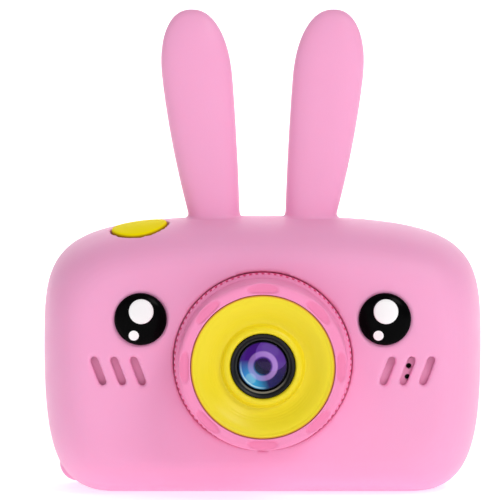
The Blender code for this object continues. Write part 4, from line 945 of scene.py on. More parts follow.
@dataclass
class BodyForm:
    """The soft rectangular pillow that the sleeve and the casing share, in millimetres."""

    width: float = 95.0
    height: float = 59.3
    depth: float = 35.0
    waist: float = 30.7
    base_trim: float = 0.8
    base_half: float = 30.3
    base_reach: float = 13.4
    shoulder: float = 47.2
    side_rise: float = 22.4
    side_fall: float = 25.1
    crown: float = 0.8
    front_round: float = 10.5
    rear_round: float = 8.0
    front_power: float = 2.1
    rear_power: float = 2.5

    @staticmethod
    def _bezier(corners: Sequence[Point], steps: int) -> list[Point]:
        """Points along a cubic curve."""
        a, b, c, d = (Vector(corner) for corner in corners)
        points = []
        for step in range(steps + 1):
            t = step / steps
            points.append(
                tuple(a * (1 - t) ** 3 + b * 3 * t * (1 - t) ** 2 + c * 3 * t**2 * (1 - t) + d * t**3)
            )
        return points

    def outline(self, inset: float, steps: int = 26) -> list[Point]:
        """The outline from the front, brought in by inset, as (x, z) corners."""
        side, base = self.width / 2, -self.base_trim
        upper = self._bezier(
            (
                (side, self.waist),
                (side, self.waist + self.side_rise),
                (self.shoulder, self.height),
                (0, self.height),
            ),
            steps,
        )
        lower = self._bezier(
            (
                (self.base_half, base),
                (self.base_half + self.base_reach, base),
                (side, self.waist - self.side_fall),
                (side, self.waist),
            ),
            steps,
        )
        right = lower[:-1] + upper
        across = (side - inset) / side
        above = (self.height - self.waist - inset) / (self.height - self.waist)
        below = (self.waist - base - inset) / (self.waist - base)
        return [
            (x * across, self.waist + (z - self.waist) * (above if z > self.waist else below))
            for x, z in right + [(-x, z) for x, z in reversed(right[:-1])]
        ]

    def edge_inset(self, y: float, inset: float = 0.0) -> float:
        """How far in the edge's rounding has brought the outline at a depth."""
        if y < 0:
            share = y / (self.crown + inset - self.depth / 2)
            power, reach = self.front_power, self.front_round
        else:
            share, power, reach = y / (self.depth / 2 - inset), self.rear_power, self.rear_round
        share = min(abs(share), 1.0)
        return inset + (reach - inset) * (1 - (1 - share**power) ** (1 / power))

    def rings(self, inset: float, front: int = 14, rear: int = 11) -> list[Point]:
        """The (inset, y) of each ring round the edge, from the front to the rear."""
        ahead, behind = self.depth / 2 - self.crown - inset, self.depth / 2 - inset
        made = []
        for step in range(1, front + 1):
            turn = math.pi / 2 * (step - 0.6) / (front - 0.6)
            reach, out = math.sin(turn) ** (2 / self.front_power), math.cos(turn) ** (2 / self.front_power)
            made.append((inset + (self.front_round - inset) * (1 - reach), -ahead * out))
        for step in range(1, rear + 1):
            turn = math.pi / 2 * step / rear
            reach = max(math.cos(turn), 0.0) ** (2 / self.rear_power)
            out = math.sin(turn) ** (2 / self.rear_power)
            made.append((inset + (self.rear_round - inset) * (1 - reach), behind * out))
        return made

    def face_y(self, x: float, z: float, inset: float = 0.0) -> float:
        """The depth of the front face at a place on it."""
        centre = Vector((0, LENS_HEIGHT))
        point = Vector((x, z)) - centre
        edge = [Vector(corner) - centre for corner in self.outline(self.front_round)]
        share = 0.0
        for first, second in zip(edge, edge[1:] + edge[:1]):
            across = first.cross(second)
            along, beyond = point.cross(second) / across, first.cross(point) / across
            if along >= 0 and beyond >= 0:
                share = max(share, along + beyond)
        return -(self.depth / 2 - inset) + self.crown * share**2

    def top_z(self, x: float, y: float, inset: float = 0.0) -> float:
        """The height of the top at a place on it."""
        around = self.outline(self.edge_inset(y, inset), 60)
        line = sorted(corner for corner in around if corner[1] > self.waist)
        for (x0, z0), (x1, z1) in zip(line, line[1:]):
            if x0 <= x <= x1:
                return z0 + (z1 - z0) * (x - x0) / (x1 - x0)
        raise ValueError(f"{x} is off the top")

    def pillow(self, name: str, inset: float) -> bpy.types.Object:
        """The closed form brought in by inset.

        Args:
            name: the object's name.
            inset: how far inside the sleeve's surface it lies.

        Returns:
            The object.
        """
        centre = Vector((0, 0, LENS_HEIGHT))
        edge = self.rings(inset)

        def ring(at: float, y: float) -> list[Vector]:
            """The vertices of one ring of the outline."""
            return [Vector((x, y, max(z, inset))) for x, z in self.outline(at)]

        face = ring(*edge[0])
        rows = []
        for share in (0.2, 0.4, 0.6, 0.75, 0.88, 0.96):
            row = [centre + (point - centre) * share for point in face]
            for point in row:
                point.y = -(self.depth / 2 - inset) + self.crown * share**2
            rows.append(row)
        rows += [ring(at, y) for at, y in edge]
        bm = bmesh.new()
        made = [[bm.verts.new(point) for point in row] for row in rows]
        pole = bm.verts.new((0, -(self.depth / 2 - inset), LENS_HEIGHT))
        count = len(face)
        for step in range(count):
            following = (step + 1) % count
            bm.faces.new((pole, made[0][step], made[0][following]))
            for outer, inner in zip(made, made[1:]):
                bm.faces.new((outer[following], outer[step], inner[step], inner[following]))
        bm.faces.new(made[-1])
        return piece(name, bm)


FORM = BodyForm()


def front_plate(
    name: str, outline: Sequence[Point], y_front: float, y_rear: float, finish: Finishes | None = None
) -> bpy.types.Object:
    """A flat outline seen from the front, given as (x, z), between two depths."""
    return prism(name, outline, -y_rear, -y_front, FORWARD, finish)


def front_rod(
    name: str, radius: float, x: float, z: float, y_front: float, y_rear: float, steps: int = 48
) -> bpy.types.Object:
    """A round bar along the depth, used to bore a hole."""
    return front_plate(name, [(x + px, z + pz) for px, pz in disc(radius, steps)], y_front, y_rear)


# Sub-assemblies


@dataclass
class Ear:
    """One upright ear of the sleeve, in millimetres."""

    rise: float = 45.0
    root: float = 10.45
    lean: float = 0.150
    curl: float = 0.0009
    width: float = 11.1
    swell: float = 0.24
    taper: float = 0.0033
    tip_start: float = 29.4
    tip_power: float = 2.3
    root_depth: float = 9.0
    tip_depth: float = 7.0
    section_power: float = 2.5
    middle_y: float = 1.0
    rows: int = 60
    sides: int = 64

    def build(self, name: str, side: int) -> bpy.types.Object:
        """Stacks the ear's sections from inside the body to its tip."""
        bm = bmesh.new()
        sections = []
        for row in range(self.rows):
            height = self.rise * math.sin(math.pi / 2 * row / self.rows) - 2.0 * (1 - row / self.rows)
            closing = max(height - self.tip_start, 0) / (self.rise - self.tip_start)
            close = (1 - min(closing, 1) ** self.tip_power) ** (1 / self.tip_power)
            width = (self.width + self.swell * height - self.taper * height**2) * close
            depth = (self.root_depth + (self.tip_depth - self.root_depth) * height / self.rise) * close
            middle = self.root + self.lean * height - self.curl * height**2
            section = []
            for step in range(self.sides):
                turn = 2 * math.pi * step / self.sides
                across = math.copysign(abs(math.cos(turn)) ** (2 / self.section_power), math.cos(turn))
                through = math.copysign(abs(math.sin(turn)) ** (2 / self.section_power), math.sin(turn))
                section.append(
                    bm.verts.new(
                        (
                            side * (middle + across * width / 2),
                            self.middle_y + through * depth / 2,
                            FORM.height + height,
                        )
                    )
                )
            sections.append(section)
        middle = self.root + self.lean * self.rise - self.curl * self.rise**2
        tip = bm.verts.new((side * middle, self.middle_y, FORM.height + self.rise))
        for step in range(self.sides):
            following = (step + 1) % self.sides
            for lower, upper in zip(sections, sections[1:]):
                bm.faces.new((lower[step], lower[following], upper[following], upper[step]))
            bm.faces.new((sections[-1][step], sections[-1][following], tip))
        bm.faces.new(sections[0])
        return piece(name, bm)


@dataclass
class Sleeve:
    """The silicone sleeve, in millimetres."""

    wall: float = 2.0
    lip: float = 9.0
    lens_hole: float = 19.12
    eye_x: float = 26.1
    eye_z: float = 38.6
    eye_seat: float = 0.6
    eye_radius: float = 5.9
    stem_radius: float = 2.7
    slot_x: float = 26.7
    slot_pitch: float = 4.25
    slot_drop: float = 2.2
    slot_length: float = 6.7
    slot_width: float = 1.65
    slot_lean: float = math.radians(21)
    loop: Corner = (-40.4, 6.0, 5.0)
    loop_radius: float = 4.0
    loop_width: float = 8.0
    window: Point = (8.0, 30.0)
    window_middle: Point = (7.3, 30.5)
    ear: Ear = field(default_factory=Ear)

    def shutter_frame(self) -> Matrix:
        """The frame on the top under the shutter, +Z outwards."""
        place, step = Vector((-26.7, -4.4)), 3.05
        rise_x = FORM.top_z(place.x + step, place.y) - FORM.top_z(place.x - step, place.y)
        rise_y = FORM.top_z(place.x, place.y + step) - FORM.top_z(place.x, place.y - step)
        normal = Vector((-rise_x / (2 * step), -rise_y / (2 * step), 1)).normalized()
        middle = Vector((place.x, place.y, FORM.top_z(place.x, place.y)))
        return Matrix.Translation(middle) @ normal.to_track_quat("Z", "Y").to_matrix().to_4x4()

    def eye_frame(self, side: int) -> Matrix:
        """The frame on the bottom of one eye's seat, +Z forward."""
        x = side * self.eye_x
        y = FORM.face_y(x, self.eye_z) + self.eye_seat
        return Matrix.Translation((x, y, self.eye_z)) @ FORWARD

    def _loop(self) -> bpy.types.Object:
        """The strap loop's round lobe."""
        x, y, z = self.loop
        half = self.loop_width / 2
        corners = [(0, -half, 0), (self.loop_radius, -half, 1.2), (self.loop_radius, half, 1.2), (0, half, 0)]
        profile = rounded(corners, False)
        return lathe("strap_loop", profile, Matrix.Translation((x, y, z)) @ FORWARD, steps=64)

    def _slots(self) -> list[bpy.types.Object]:
        """Cutters for the slanted cheek slots."""
        cutters = []
        for side in (-1, 1):
            for index in range(3):
                turn = Matrix.Rotation(-side * self.slot_lean, 2)
                shape = box_outline(self.slot_width, self.slot_length, self.slot_width / 2 - 0.01)
                x, z = side * (self.slot_x + index * self.slot_pitch), LENS_HEIGHT - self.slot_drop
                corners = [tuple(turn @ Vector(corner) + Vector((x, z))) for corner in shape]
                cutters.append(front_plate(f"slot_{side}_{index}", corners, -30, -9))
        return cutters

    def _cutters(self) -> list[bpy.types.Object]:
        """Everything that is cut out of the pillow."""
        x, y, z = self.loop
        out, along = Vector((-1, 0, -1)).normalized(), Vector((1, 0, -1)).normalized()
        strap_turn = along.to_track_quat("Z", "Y").to_matrix().to_4x4()
        strap_place = Matrix.Translation(Vector((x, y, z)) + out * 1.35) @ strap_turn
        window_move = Matrix.Translation((FORM.width / 2, self.window_middle[0], 0))
        window_place = window_move @ Matrix.Rotation(math.pi / 2, 4, "Z") @ FORWARD
        window = box_outline(self.window[0], self.window[1], self.window[0] / 3, (0, self.window_middle[1]))
        cutters = [
            FORM.pillow("inside", self.wall),
            front_plate("rear_opening", FORM.outline(self.lip), 13.5, 30),
            prism("lens_hole", disc(self.lens_hole, 128), 9, 40, LENS_FRAME),
            prism("shutter_hole", disc(6.4, 64), -8, 8, self.shutter_frame()),
            prism("strap_hole", disc(1.15, 32), -12, 12, strap_place),
            prism("port_window", window, -6, 6, window_place),
        ]
        for side in (-1, 1):
            place = self.eye_frame(side)
            cutters.append(prism(f"eye_seat_{side}", disc(self.eye_radius, 80), 0, 6, place))
            cutters.append(prism(f"eye_stem_{side}", disc(self.stem_radius, 40), -4, 2, place))
        return cutters + self._slots()

    def build(self) -> bpy.types.Object:
        """The moulded sleeve with soft edges."""
        made = FORM.pillow("sleeve", 0)
        carve(made, (self.ear.build("ear_left", -1), self.ear.build("ear_right", 1), self._loop()), "UNION")
        carve(made, self._cutters())
        soften(made, 0.42, 5, 186_000)
        return made

    def finish(self) -> None:
        """Builds and dresses the sleeve."""
        made = dress(self.build(), Finishes.SILICONE)
        settle(made, BODY, "pink_silicone", "silicone_sleeve")


@dataclass
class Eyes:
    """The two glossy black eyes with their white printed glints, in millimetres."""

    radius: float = 5.6
    dome: float = 1.9
    edge: float = 0.54
    stem: float = 2.4
    stem_end: float = -1.4
    glints: tuple[tuple[float, float, float], ...] = ((0.17, 1.77, 2.63), (-1.42, -3.4, 1.1))

    def height(self, reach: float) -> float:
        """The dome's height over its seat at a distance from its axis."""
        return self.edge + self.dome * math.sqrt(max(1 - (reach / self.radius) ** 2, 0))

    def _glint(self, name: str, place: Matrix, x: float, z: float, radius: float) -> bpy.types.Object:
        """One printed disc that lies on the dome, with a thin body under it."""
        bm = bmesh.new()
        rings, sides = 8, 48
        layers = []
        for lift in (0.025, -0.06):
            pole = bm.verts.new(place @ Vector((x, z, self.height(math.hypot(x, z)) + lift)))
            rows = []
            for ring in range(1, rings + 1):
                reach = radius * ring / rings
                row = []
                for step in range(sides):
                    turn = 2 * math.pi * step / sides
                    px, pz = x + reach * math.cos(turn), z + reach * math.sin(turn)
                    row.append(bm.verts.new(place @ Vector((px, pz, self.height(math.hypot(px, pz)) + lift))))
                rows.append(row)
            for step in range(sides):
                following = (step + 1) % sides
                bm.faces.new((pole, rows[0][step], rows[0][following]))
                for inner, outer in zip(rows, rows[1:]):
                    bm.faces.new((inner[step], outer[step], outer[following], inner[following]))
            layers.append(rows[-1])
        for step in range(sides):
            following = (step + 1) % sides
            bm.faces.new((layers[0][step], layers[1][step], layers[1][following], layers[0][following]))
        return piece(name, bm, Finishes.PRINT)

    def finish(self, sleeve: Sleeve) -> None:
        """Builds both eyes and their prints in the sleeve's seats."""
        for side, label in ((-1, "left"), (1, "right")):
            place = sleeve.eye_frame(side)
            profile = [(0.0, self.edge + self.dome)]
            for step in range(1, 19):
                turn = math.pi / 2 * step / 20
                profile.append((self.radius * math.sin(turn), self.edge + self.dome * math.cos(turn)))
            profile += rounded(
                [
                    (self.radius * 0.999, self.edge + self.dome * 0.05, 0),
                    (self.radius, 0.3, 0.12),
                    (self.stem, 0.3, 0.05),
                    (self.stem, self.stem_end, 0.3),
                    (0.0, self.stem_end, 0),
                ],
                False,
            )
            dome = lathe(f"eye_{label}_dome", profile, place, Finishes.EYE)
            settle(dome, BODY, "gloss_black", f"eye_{label}")
            for index, (x, z, radius) in enumerate(self.glints):
                glint = self._glint(f"eye_{label}_glint_{index}", place, x, z, radius)
                settle(glint, BODY, "white_nylon")


@dataclass
class LensGroup:
    """The turning ring, the yellow dish, the glass and the lens, in millimetres.

    Heights are distances forward of the body's mid-plane.
    """

    front: float = 29.0
    ring_radius: float = 17.8
    bore: float = 15.4
    flange: float = 19.0
    neck: float = 18.6
    flange_rear: float = 15.5
    shoulder: float = 22.0
    tube_bore: float = 14.2
    teeth: int = 90
    dents: int = 8
    dent_size: Point = (6.6, 2.0)
    dent_depth: float = 0.4
    dent_power: float = 2.4  # how square the oval is
    dent_painted_shade: float = 0.24  # how much painted shade a dent takes
    # painted shade on the floor between the teeth
    notch_painted_shade: float = 0.9
    bezel: float = 15.1
    rim: float = 28.9
    collar: float = 8.6
    seat: float = 6.85
    glass: float = 5.4
    glass_edge: float = 26.0

    def _ring_profile(self) -> list[Point]:
        """The ring's section, fine across its face."""
        corners = [
            (self.bore - 0.06, self.front, 0.2),
            (self.ring_radius, self.front, 1.1),
            (18.05, self.neck + 0.5, 0.3),
            (self.flange - 0.3, self.neck - 0.1, 0.12),
            (self.flange - 0.34, self.neck - 0.9, 0.1),
            (self.flange, self.neck - 1.0, 0.1),
            (self.flange, self.flange_rear + 0.3, 0.2),
            (self.tube_bore, self.flange_rear + 0.3, 0.2),
            (self.tube_bore, self.shoulder, 0.1),
            (self.bore, self.shoulder, 0.1),
        ]
        points = []
        for point in rounded(corners, True, 6):
            last = points[-1] if points else None
            flat = last and abs(last[1] - self.front) < 1e-6 and abs(point[1] - self.front) < 1e-6
            if flat and point[0] - last[0] > 0.3:
                width, spans = point[0] - last[0], 12
                points += [(last[0] + width * step / spans, self.front) for step in range(1, spans)]
            points.append(point)
        return points

    def _dent(self, made: bpy.types.Object) -> None:
        """Presses the oval dents into the ring's face and paints shade into them and onto the notches' floor.
        """
        mark = made.data.attributes.new("recess", "FLOAT", "POINT")
        middle = (self.ring_radius + self.bore) / 2 + 0.05
        for index, vertex in enumerate(made.data.vertices):
            x, ahead, z = vertex.co.x / MM, -vertex.co.y / MM, vertex.co.z / MM - LENS_HEIGHT
            reach, turn = math.hypot(x, z), math.atan2(z, x)
            if ahead < self.front - 0.9:
                if reach > self.flange - 0.5 and ahead < self.neck - 0.2:
                    # Painted shade on the floor between the teeth.
                    mark.data[index].value = self.notch_painted_shade
                continue
            pitch = 2 * math.pi / self.dents
            off = (turn + pitch / 2) % pitch - pitch / 2
            along, across = off * middle / (self.dent_size[0] / 2), (reach - middle) / (self.dent_size[1] / 2)
            power = self.dent_power
            oval = (abs(along) ** power + abs(across) ** power) ** (1 / power)
            press = max(0.0, min(1.0, (1.12 - oval) / 0.3))
            press = press * press * (3 - 2 * press)
            if press:
                vertex.co.y += self.dent_depth * press * MM
                # Painted shade in the dent, deeper where it is pressed deeper.
                mark.data[index].value = press * self.dent_painted_shade

    def ring(self, repeat: Repeat) -> None:
        """The ring and the teeth round its flange."""
        profile = self._ring_profile()
        made = lathe("lens_ring_turning", profile, LENS_FRAME, Finishes.RING, steps=480, closed=True)
        self._dent(made)
        settle(made, "lens_ring", "ring_pink", "lens_ring")
        low, high = self.flange_rear + 0.5, self.neck - 0.1
        shape = [(-0.6, -0.42), (-0.1, -0.4), (0.06, -0.3), (0.06, 0.3), (-0.1, 0.4), (-0.6, 0.42)]
        tooth = bevelled(prism("tooth", shape, low, high), 0.1, 1)
        teeth = repeat.make(
            "lens_ring_knurl",
            tooth,
            Finishes.RING,
            Count=self.teeth,
            Radius=(self.flange - 0.07) * MM,
            Start=(0.0, 0.0, LENS_HEIGHT * MM),
            Tilt=(math.pi / 2, 0.0, 0.0),
        )
        settle(teeth, "lens_ring", "ring_pink")

    def dish(self) -> None:
        """The yellow dish with its faint steps and the collar round the glass."""
        floor, crest = self.rim - 2.8, self.rim - 1.2
        corners = [
            (self.seat + 0.06, crest - 0.75, 0.1),
            (self.seat + 0.35, crest - 0.08, 0.25),
            (self.collar - 0.8, crest, 0.4),
            (self.collar - 0.1, crest - 0.5, 0.5),
            (self.collar + 0.15, floor + 0.25, 0.3),
        ]
        start, end, spans = self.collar + 0.45, self.bezel - 0.9, 48
        for step in range(spans + 1):
            share = step / spans
            slope = share * share * (3 - 2 * share)
            ridge = 0.022 * math.cos(2 * math.pi * 9 * share) * max(0.0, 1 - abs(share - 0.42) / 0.36)
            corners.append((start + (end - start) * share, floor + 2.55 * slope + ridge, 0))
        corners += [
            (self.bezel - 0.45, self.rim, 0.15),
            (self.bezel + 0.12, self.rim, 0.12),
            (self.bezel + 0.12, self.rim - 0.5, 0.1),
            (self.bezel, self.rim - 0.7, 0.1),
            (self.bezel, 22.3, 0.1),
            (self.bezel - 0.9, 22.3, 0.1),
            (self.bezel - 0.9, 25.3, 0.1),
            (self.collar + 1.5, 25.3, 0.2),
            (self.collar - 0.4, 24.8, 0.2),
            (self.collar - 0.4, 21.5, 0.1),
            (self.seat + 0.3, 21.5, 0.1),
        ]
        profile = rounded(corners, True, 4)
        made = lathe("lens_dish", profile, LENS_FRAME, Finishes.DISH, steps=192, closed=True)
        # Painted shade: the rim's outer side is darkened for the gap round the dish.
        mark = made.data.attributes.new("recess", "FLOAT", "POINT")
        for index, vertex in enumerate(made.data.vertices):
            reach = math.hypot(vertex.co.x / MM, vertex.co.z / MM - LENS_HEIGHT)
            if reach > self.bezel - 0.02 and -vertex.co.y / MM > self.rim - 1.5:
                mark.data[index].value = 0.9
        settle(made, BODY, "yellow_plastic", "lens_bezel")

    def retainer(self) -> None:
        """The black lip round the glass and the ribbed grey cone inside it."""
        lip = [
            (self.seat - 0.75, 27.0, 0.2),
            (self.seat - 0.15, 27.35, 0.3),
            (self.seat, 27.0, 0.2),
            (self.seat, 22.7, 0.1),
            (5.1, 22.7, 0.1),
            (5.1, 24.7, 0.1),
            (5.65, 24.75, 0.1),
            (5.72, 26.2, 0.1),
        ]
        made = lathe("lens_lip", rounded(lip, True, 5), LENS_FRAME, Finishes.LIP, steps=160, closed=True)
        settle(made, BODY, "matt_black", "lens_retainer")
        cone = []
        for step in range(4):
            outer = 6.55 - 0.27 * step
            cone += [(outer, 27.14 - 0.28 * step, 0), (outer - 0.2, 27.08 - 0.28 * step, 0)]
        profile = cone + [(5.5, 26.3, 0), (5.72, 26.0, 0), (6.6, 26.9, 0)]
        made = lathe("lens_cone", rounded(profile, True), LENS_FRAME, Finishes.CONE, steps=160, closed=True)
        # Painted reflection: the cone grows lighter and warmer towards its bottom.
        mark = made.data.attributes.new("recess", "FLOAT", "POINT")
        for index, vertex in enumerate(made.data.vertices):
            mark.data[index].value = max(0.0, min(1.0, -(vertex.co.z / MM - LENS_HEIGHT) / 4.0 - 0.65))
        settle(made, BODY, "matt_black")

    def glasses(self) -> None:
        """The domed cover glass, the black barrel behind it and its front element."""
        dome = []
        for step in range(20):
            reach = self.glass * step / 20
            dome.append((reach, self.glass_edge + 0.9 * (1 - (reach / self.glass) ** 2) ** 0.8))
        dome += [(self.glass, self.glass_edge), (self.glass, 25.0), (0.0, 25.0)]
        cover = lathe("cover_glass", dome, LENS_FRAME, Finishes.GLASS, steps=128)
        settle(cover, BODY, "clear_glass", "lens_cover_glass")
        barrel = [(4.4, 24.7), (4.6, 24.5), (4.6, 22.7), (3.9, 22.7)]
        barrel += [(3.9, 18.0), (2.2, 18.0), (2.2, 22.3), (2.9, 22.3)]
        for step in range(5):
            barrel.append((3.1 + 0.26 * step, 22.9 + 0.36 * step))
            barrel.append((3.1 + 0.26 * (step + 0.75), 22.95 + 0.36 * step))
        made = lathe("lens_barrel_ribbed", barrel, LENS_FRAME, Finishes.BARREL, steps=96, closed=True)
        settle(crisp(made), BODY, "matt_black", "lens_barrel")
        element = [(2.8 * step / 12, 22.6 + 1.5 - 1.0 * (step / 12) ** 2) for step in range(13)]
        element += [(2.8, 22.6), (0.0, 22.6)]
        made = lathe("front_element", element, LENS_FRAME, Finishes.ELEMENT, steps=96)
        settle(made, BODY, "clear_glass", "lens_front_element")

    def finish(self, repeat: Repeat) -> None:
        """Builds the whole group."""
        self.ring(repeat)
        self.dish()
        self.retainer()
        self.glasses()


@dataclass
class Shutter:
    """The yellow button on the top, which follows the sleeve's surface, in millimetres."""

    radius: float = 6.1
    proud: float = 0.25
    crown: float = 0.12
    lip: float = 0.45

    def finish(self, sleeve: Sleeve) -> None:
        """Builds the cap over the flange and post of its solid."""
        place = sleeve.shutter_frame()
        inverse = place.inverted()
        low = min((inverse @ Vector(corner)).z for corner in self._corners())
        bm = bmesh.new()
        rings, sides = 26, 96
        rows = []
        for ring in range(1, rings + 1):
            reach = self.radius * (ring / rings) ** 0.85
            inside = max(0.0, reach - (self.radius - self.lip)) / self.lip
            drop = self.lip * (1 - math.sqrt(max(1 - inside**2, 0)))
            row = []
            for step in range(sides):
                turn = 2 * math.pi * step / sides
                row.append(bm.verts.new(place @ self._top(place, inverse, reach, turn, drop)))
            rows.append(row)
        centre = bm.verts.new(place @ self._top(place, inverse, 0.0, 0.0, 0.0))
        for radius, height in ((self.radius, -2.3), (7.0, -2.3), (7.0, -3.4), (1.6, -3.4), (1.6, low)):
            rows.append([bm.verts.new(place @ Vector((*corner, height))) for corner in disc(radius, sides)])
        for step in range(sides):
            following = (step + 1) % sides
            bm.faces.new((centre, rows[0][step], rows[0][following]))
            for inner, outer in zip(rows, rows[1:]):
                bm.faces.new((inner[step], outer[step], outer[following], inner[following]))
        bm.faces.new(rows[-1])
        made = piece("shutter_cap", bm, Finishes.BUTTON)
        # Painted shade on the cap's side below the sleeve's skin, for the gap round it.
        mark = made.data.attributes.new("recess", "FLOAT", "POINT")
        for index, vertex in enumerate(made.data.vertices):
            local = inverse @ (vertex.co / MM)
            at_side = math.hypot(local.x, local.y) > self.radius - 0.06
            if at_side and local.z < self._skin(place, inverse, local):
                mark.data[index].value = 1.0
        settle(crisp(made, 50), "shutter_button", "yellow_plastic", "shutter_button")

    @staticmethod
    def _corners() -> list[Corner]:
        """The solid's box corners in millimetres."""
        low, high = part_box("shutter_button")
        return [(low[0] / MM, low[1] / MM, low[2] / MM), (high[0] / MM, low[1] / MM, low[2] / MM)]

    def _skin(self, place: Matrix, inverse: Matrix, local: Vector) -> float:
        """The sleeve's height in the button's frame under a place in it."""
        world = place @ Vector((local.x, local.y, 0))
        return (inverse @ Vector((world.x, world.y, FORM.top_z(world.x, world.y)))).z

    def _top(self, place: Matrix, inverse: Matrix, reach: float, turn: float, drop: float) -> Vector:
        """A point on the cap's top in its own frame."""
        local = Vector((reach * math.cos(turn), reach * math.sin(turn), 0))
        rise = self.crown * (1 - (reach / self.radius) ** 2)
        local.z = self._skin(place, inverse, local) + self.proud + rise - drop
        return local


@dataclass
class RearPanel:
    """The casing's rear with its screen window and keys, in millimetres."""

    face: float = 16.9
    inset: float = 2.3
    hollow: float = 3.9
    parting: float = 2.3
    panel_inset: float = 9.3
    screen: Point = (8.0, LENS_HEIGHT)
    window: Point = (43.0, 31.4)
    border: float = 1.6
    keys_x: float = -25.2
    pitch: float = 7.4
    key_radius: float = 2.7
    small_radius: float = 2.2
    small_rise: float = 14.3
    key_top: float = 17.35
    screw_x: float = 37.0
    screw_rise: float = 18.0

    def key_places(self) -> list[tuple[str, float, float, float]]:
        """Each key's name, place and radius."""
        x, z, step = self.keys_x, LENS_HEIGHT, self.pitch
        return [
            ("ok", x, z, self.key_radius),
            ("up", x, z + step, self.key_radius),
            ("down", x, z - step, self.key_radius),
            ("left", x + step, z, self.key_radius),
            ("right", x - step, z, self.key_radius),
            ("power", x, z + self.small_rise, self.small_radius),
            ("menu", x, z - self.small_rise, self.small_radius),
        ]

    def screw_places(self) -> list[Point]:
        """Where the four casing screws stand."""
        return [(sx * self.screw_x, LENS_HEIGHT + sz * self.screw_rise) for sx in (-1, 1) for sz in (-1, 1)]

    def shell(self) -> None:
        """The casing's rear half, its openings softly edged."""
        made = FORM.pillow("casing_rear", self.inset)
        carve(made, [front_plate("panel", FORM.outline(self.panel_inset), 14.0, self.face)], "UNION")
        x, z = self.screen
        width, height = self.window
        seat = box_outline(width + 2 * FIT, height + 2 * FIT, 2.5, (x, z))
        cutters = [
            FORM.pillow("casing_hollow", self.hollow),
            front_plate("casing_front", [(-60, -10), (60, -10), (60, 80), (-60, 80)], -30, self.parting),
            front_plate("window_seat", seat, self.face - 1.2, 30),
            front_plate(
                "view", box_outline(width - 2 * self.border, height - 2 * self.border, 1.0, (x, z)), 5, 30
            ),
        ]
        for name, key_x, key_z, radius in self.key_places():
            cutters.append(front_rod(f"key_{name}_hole", radius + FIT, key_x, key_z, 5, 30))
        for index, (screw_x, screw_z) in enumerate(self.screw_places()):
            cutters.append(front_rod(f"screw_hole_{index}", 2.1, screw_x, screw_z, 10.9, 30))
            cutters.append(front_rod(f"screw_bore_{index}", 1.25, screw_x, screw_z, 5, 30, 24))
        for node in ("usb_port", "card_socket"):
            low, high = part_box(node)
            left, front, bottom = (value / MM - FIT for value in low)
            _, rear, top = (value / MM + FIT for value in high)
            opening = box_outline(30, top - bottom, 0.6, (left + 15, (bottom + top) / 2))
            cutters.append(front_plate(f"{node}_opening", opening, front, rear))
        carve(made, cutters)
        soften(made, 0.36, 2, 110_000)
        settle(dress(made, Finishes.SHELL), BODY, "pink_shell", "rear_shell")

    def glass(self) -> None:
        """The screen's clear window with polished edges."""
        width, height = self.window
        outline = box_outline(width, height, 2.2, self.screen, 12)
        made = front_plate("screen_window", outline, self.face - 0.9, self.face, Finishes.SCREEN)
        settle(crisp(bevelled(made, 0.18, 3)), BODY, "screen_black", "lcd_window")

    def _icon(self, name: str, place: Matrix, top: float) -> list[bpy.types.Object]:
        """The printed mark of one key, a hair proud of its top."""
        low, high = top - 0.1, top + 0.02
        turns = {"right": 0, "up": 90, "left": 180, "down": 270}
        if name in turns:
            turn = Matrix.Rotation(math.radians(turns[name]), 2)
            corners = [(0.95, 0), (-0.55, 0.9), (-0.55, -0.9)]
            arrow = [tuple(turn @ Vector(corner)) for corner in corners]
            return [prism(f"mark_{name}", arrow, low, high, place, Finishes.LEGEND)]
        if name == "menu":
            bars = [(bar, box_outline(2.0, 0.34, 0.16, (0, 0.62 * bar))) for bar in (-1, 0, 1)]
            return [
                prism(f"mark_menu_{bar}", shape, low, high, place, Finishes.LEGEND) for bar, shape in bars
            ]
        if name == "power":
            sweep = [math.radians(-235 + 290 * step / 32) for step in range(33)]
            arc = [(1.05 * math.cos(a), 1.05 * math.sin(a)) for a in sweep]
            arc += [(0.78 * math.cos(a), 0.78 * math.sin(a)) for a in reversed(sweep)]
            bar = box_outline(0.3, 1.0, 0.14, (0, 0.8))
            return [
                prism(f"mark_power_{index}", shape, low, high, place, Finishes.LEGEND)
                for index, shape in enumerate((arc, bar))
            ]
        band = [(0.75, low), (1.05, low), (1.05, high), (0.75, high)]
        return [lathe("mark_ok", band, place, Finishes.LEGEND, steps=48, closed=True)]

    def keys(self) -> None:
        """The seven caps with softly rounded tops and printed marks."""
        for name, x, z, radius in self.key_places():
            place = Matrix.Translation((x, 0, z)) @ REARWARD
            corners = [
                (0, self.key_top, 0),
                (radius, self.key_top, 0.5),
                (radius, 15.0, 0),
                (radius + 0.5, 15.0, 0.1),
                (radius + 0.5, 14.0, 0.1),
                (radius * 0.4, 14.0, 0.1),
                (radius * 0.4, 11.5, 0.1),
                (0, 11.5, 0),
            ]
            cap = lathe(f"key_{name}_cap", rounded(corners, False), place, Finishes.BUTTON, steps=72)
            settle(crisp(cap, 50), f"key_{name}", "yellow_plastic", f"key_{name}")
            upright = place @ Matrix.Rotation(math.pi, 4, "Z")
            for mark in self._icon(name, upright, self.key_top):
                settle(crisp(mark), f"key_{name}", "matt_black")

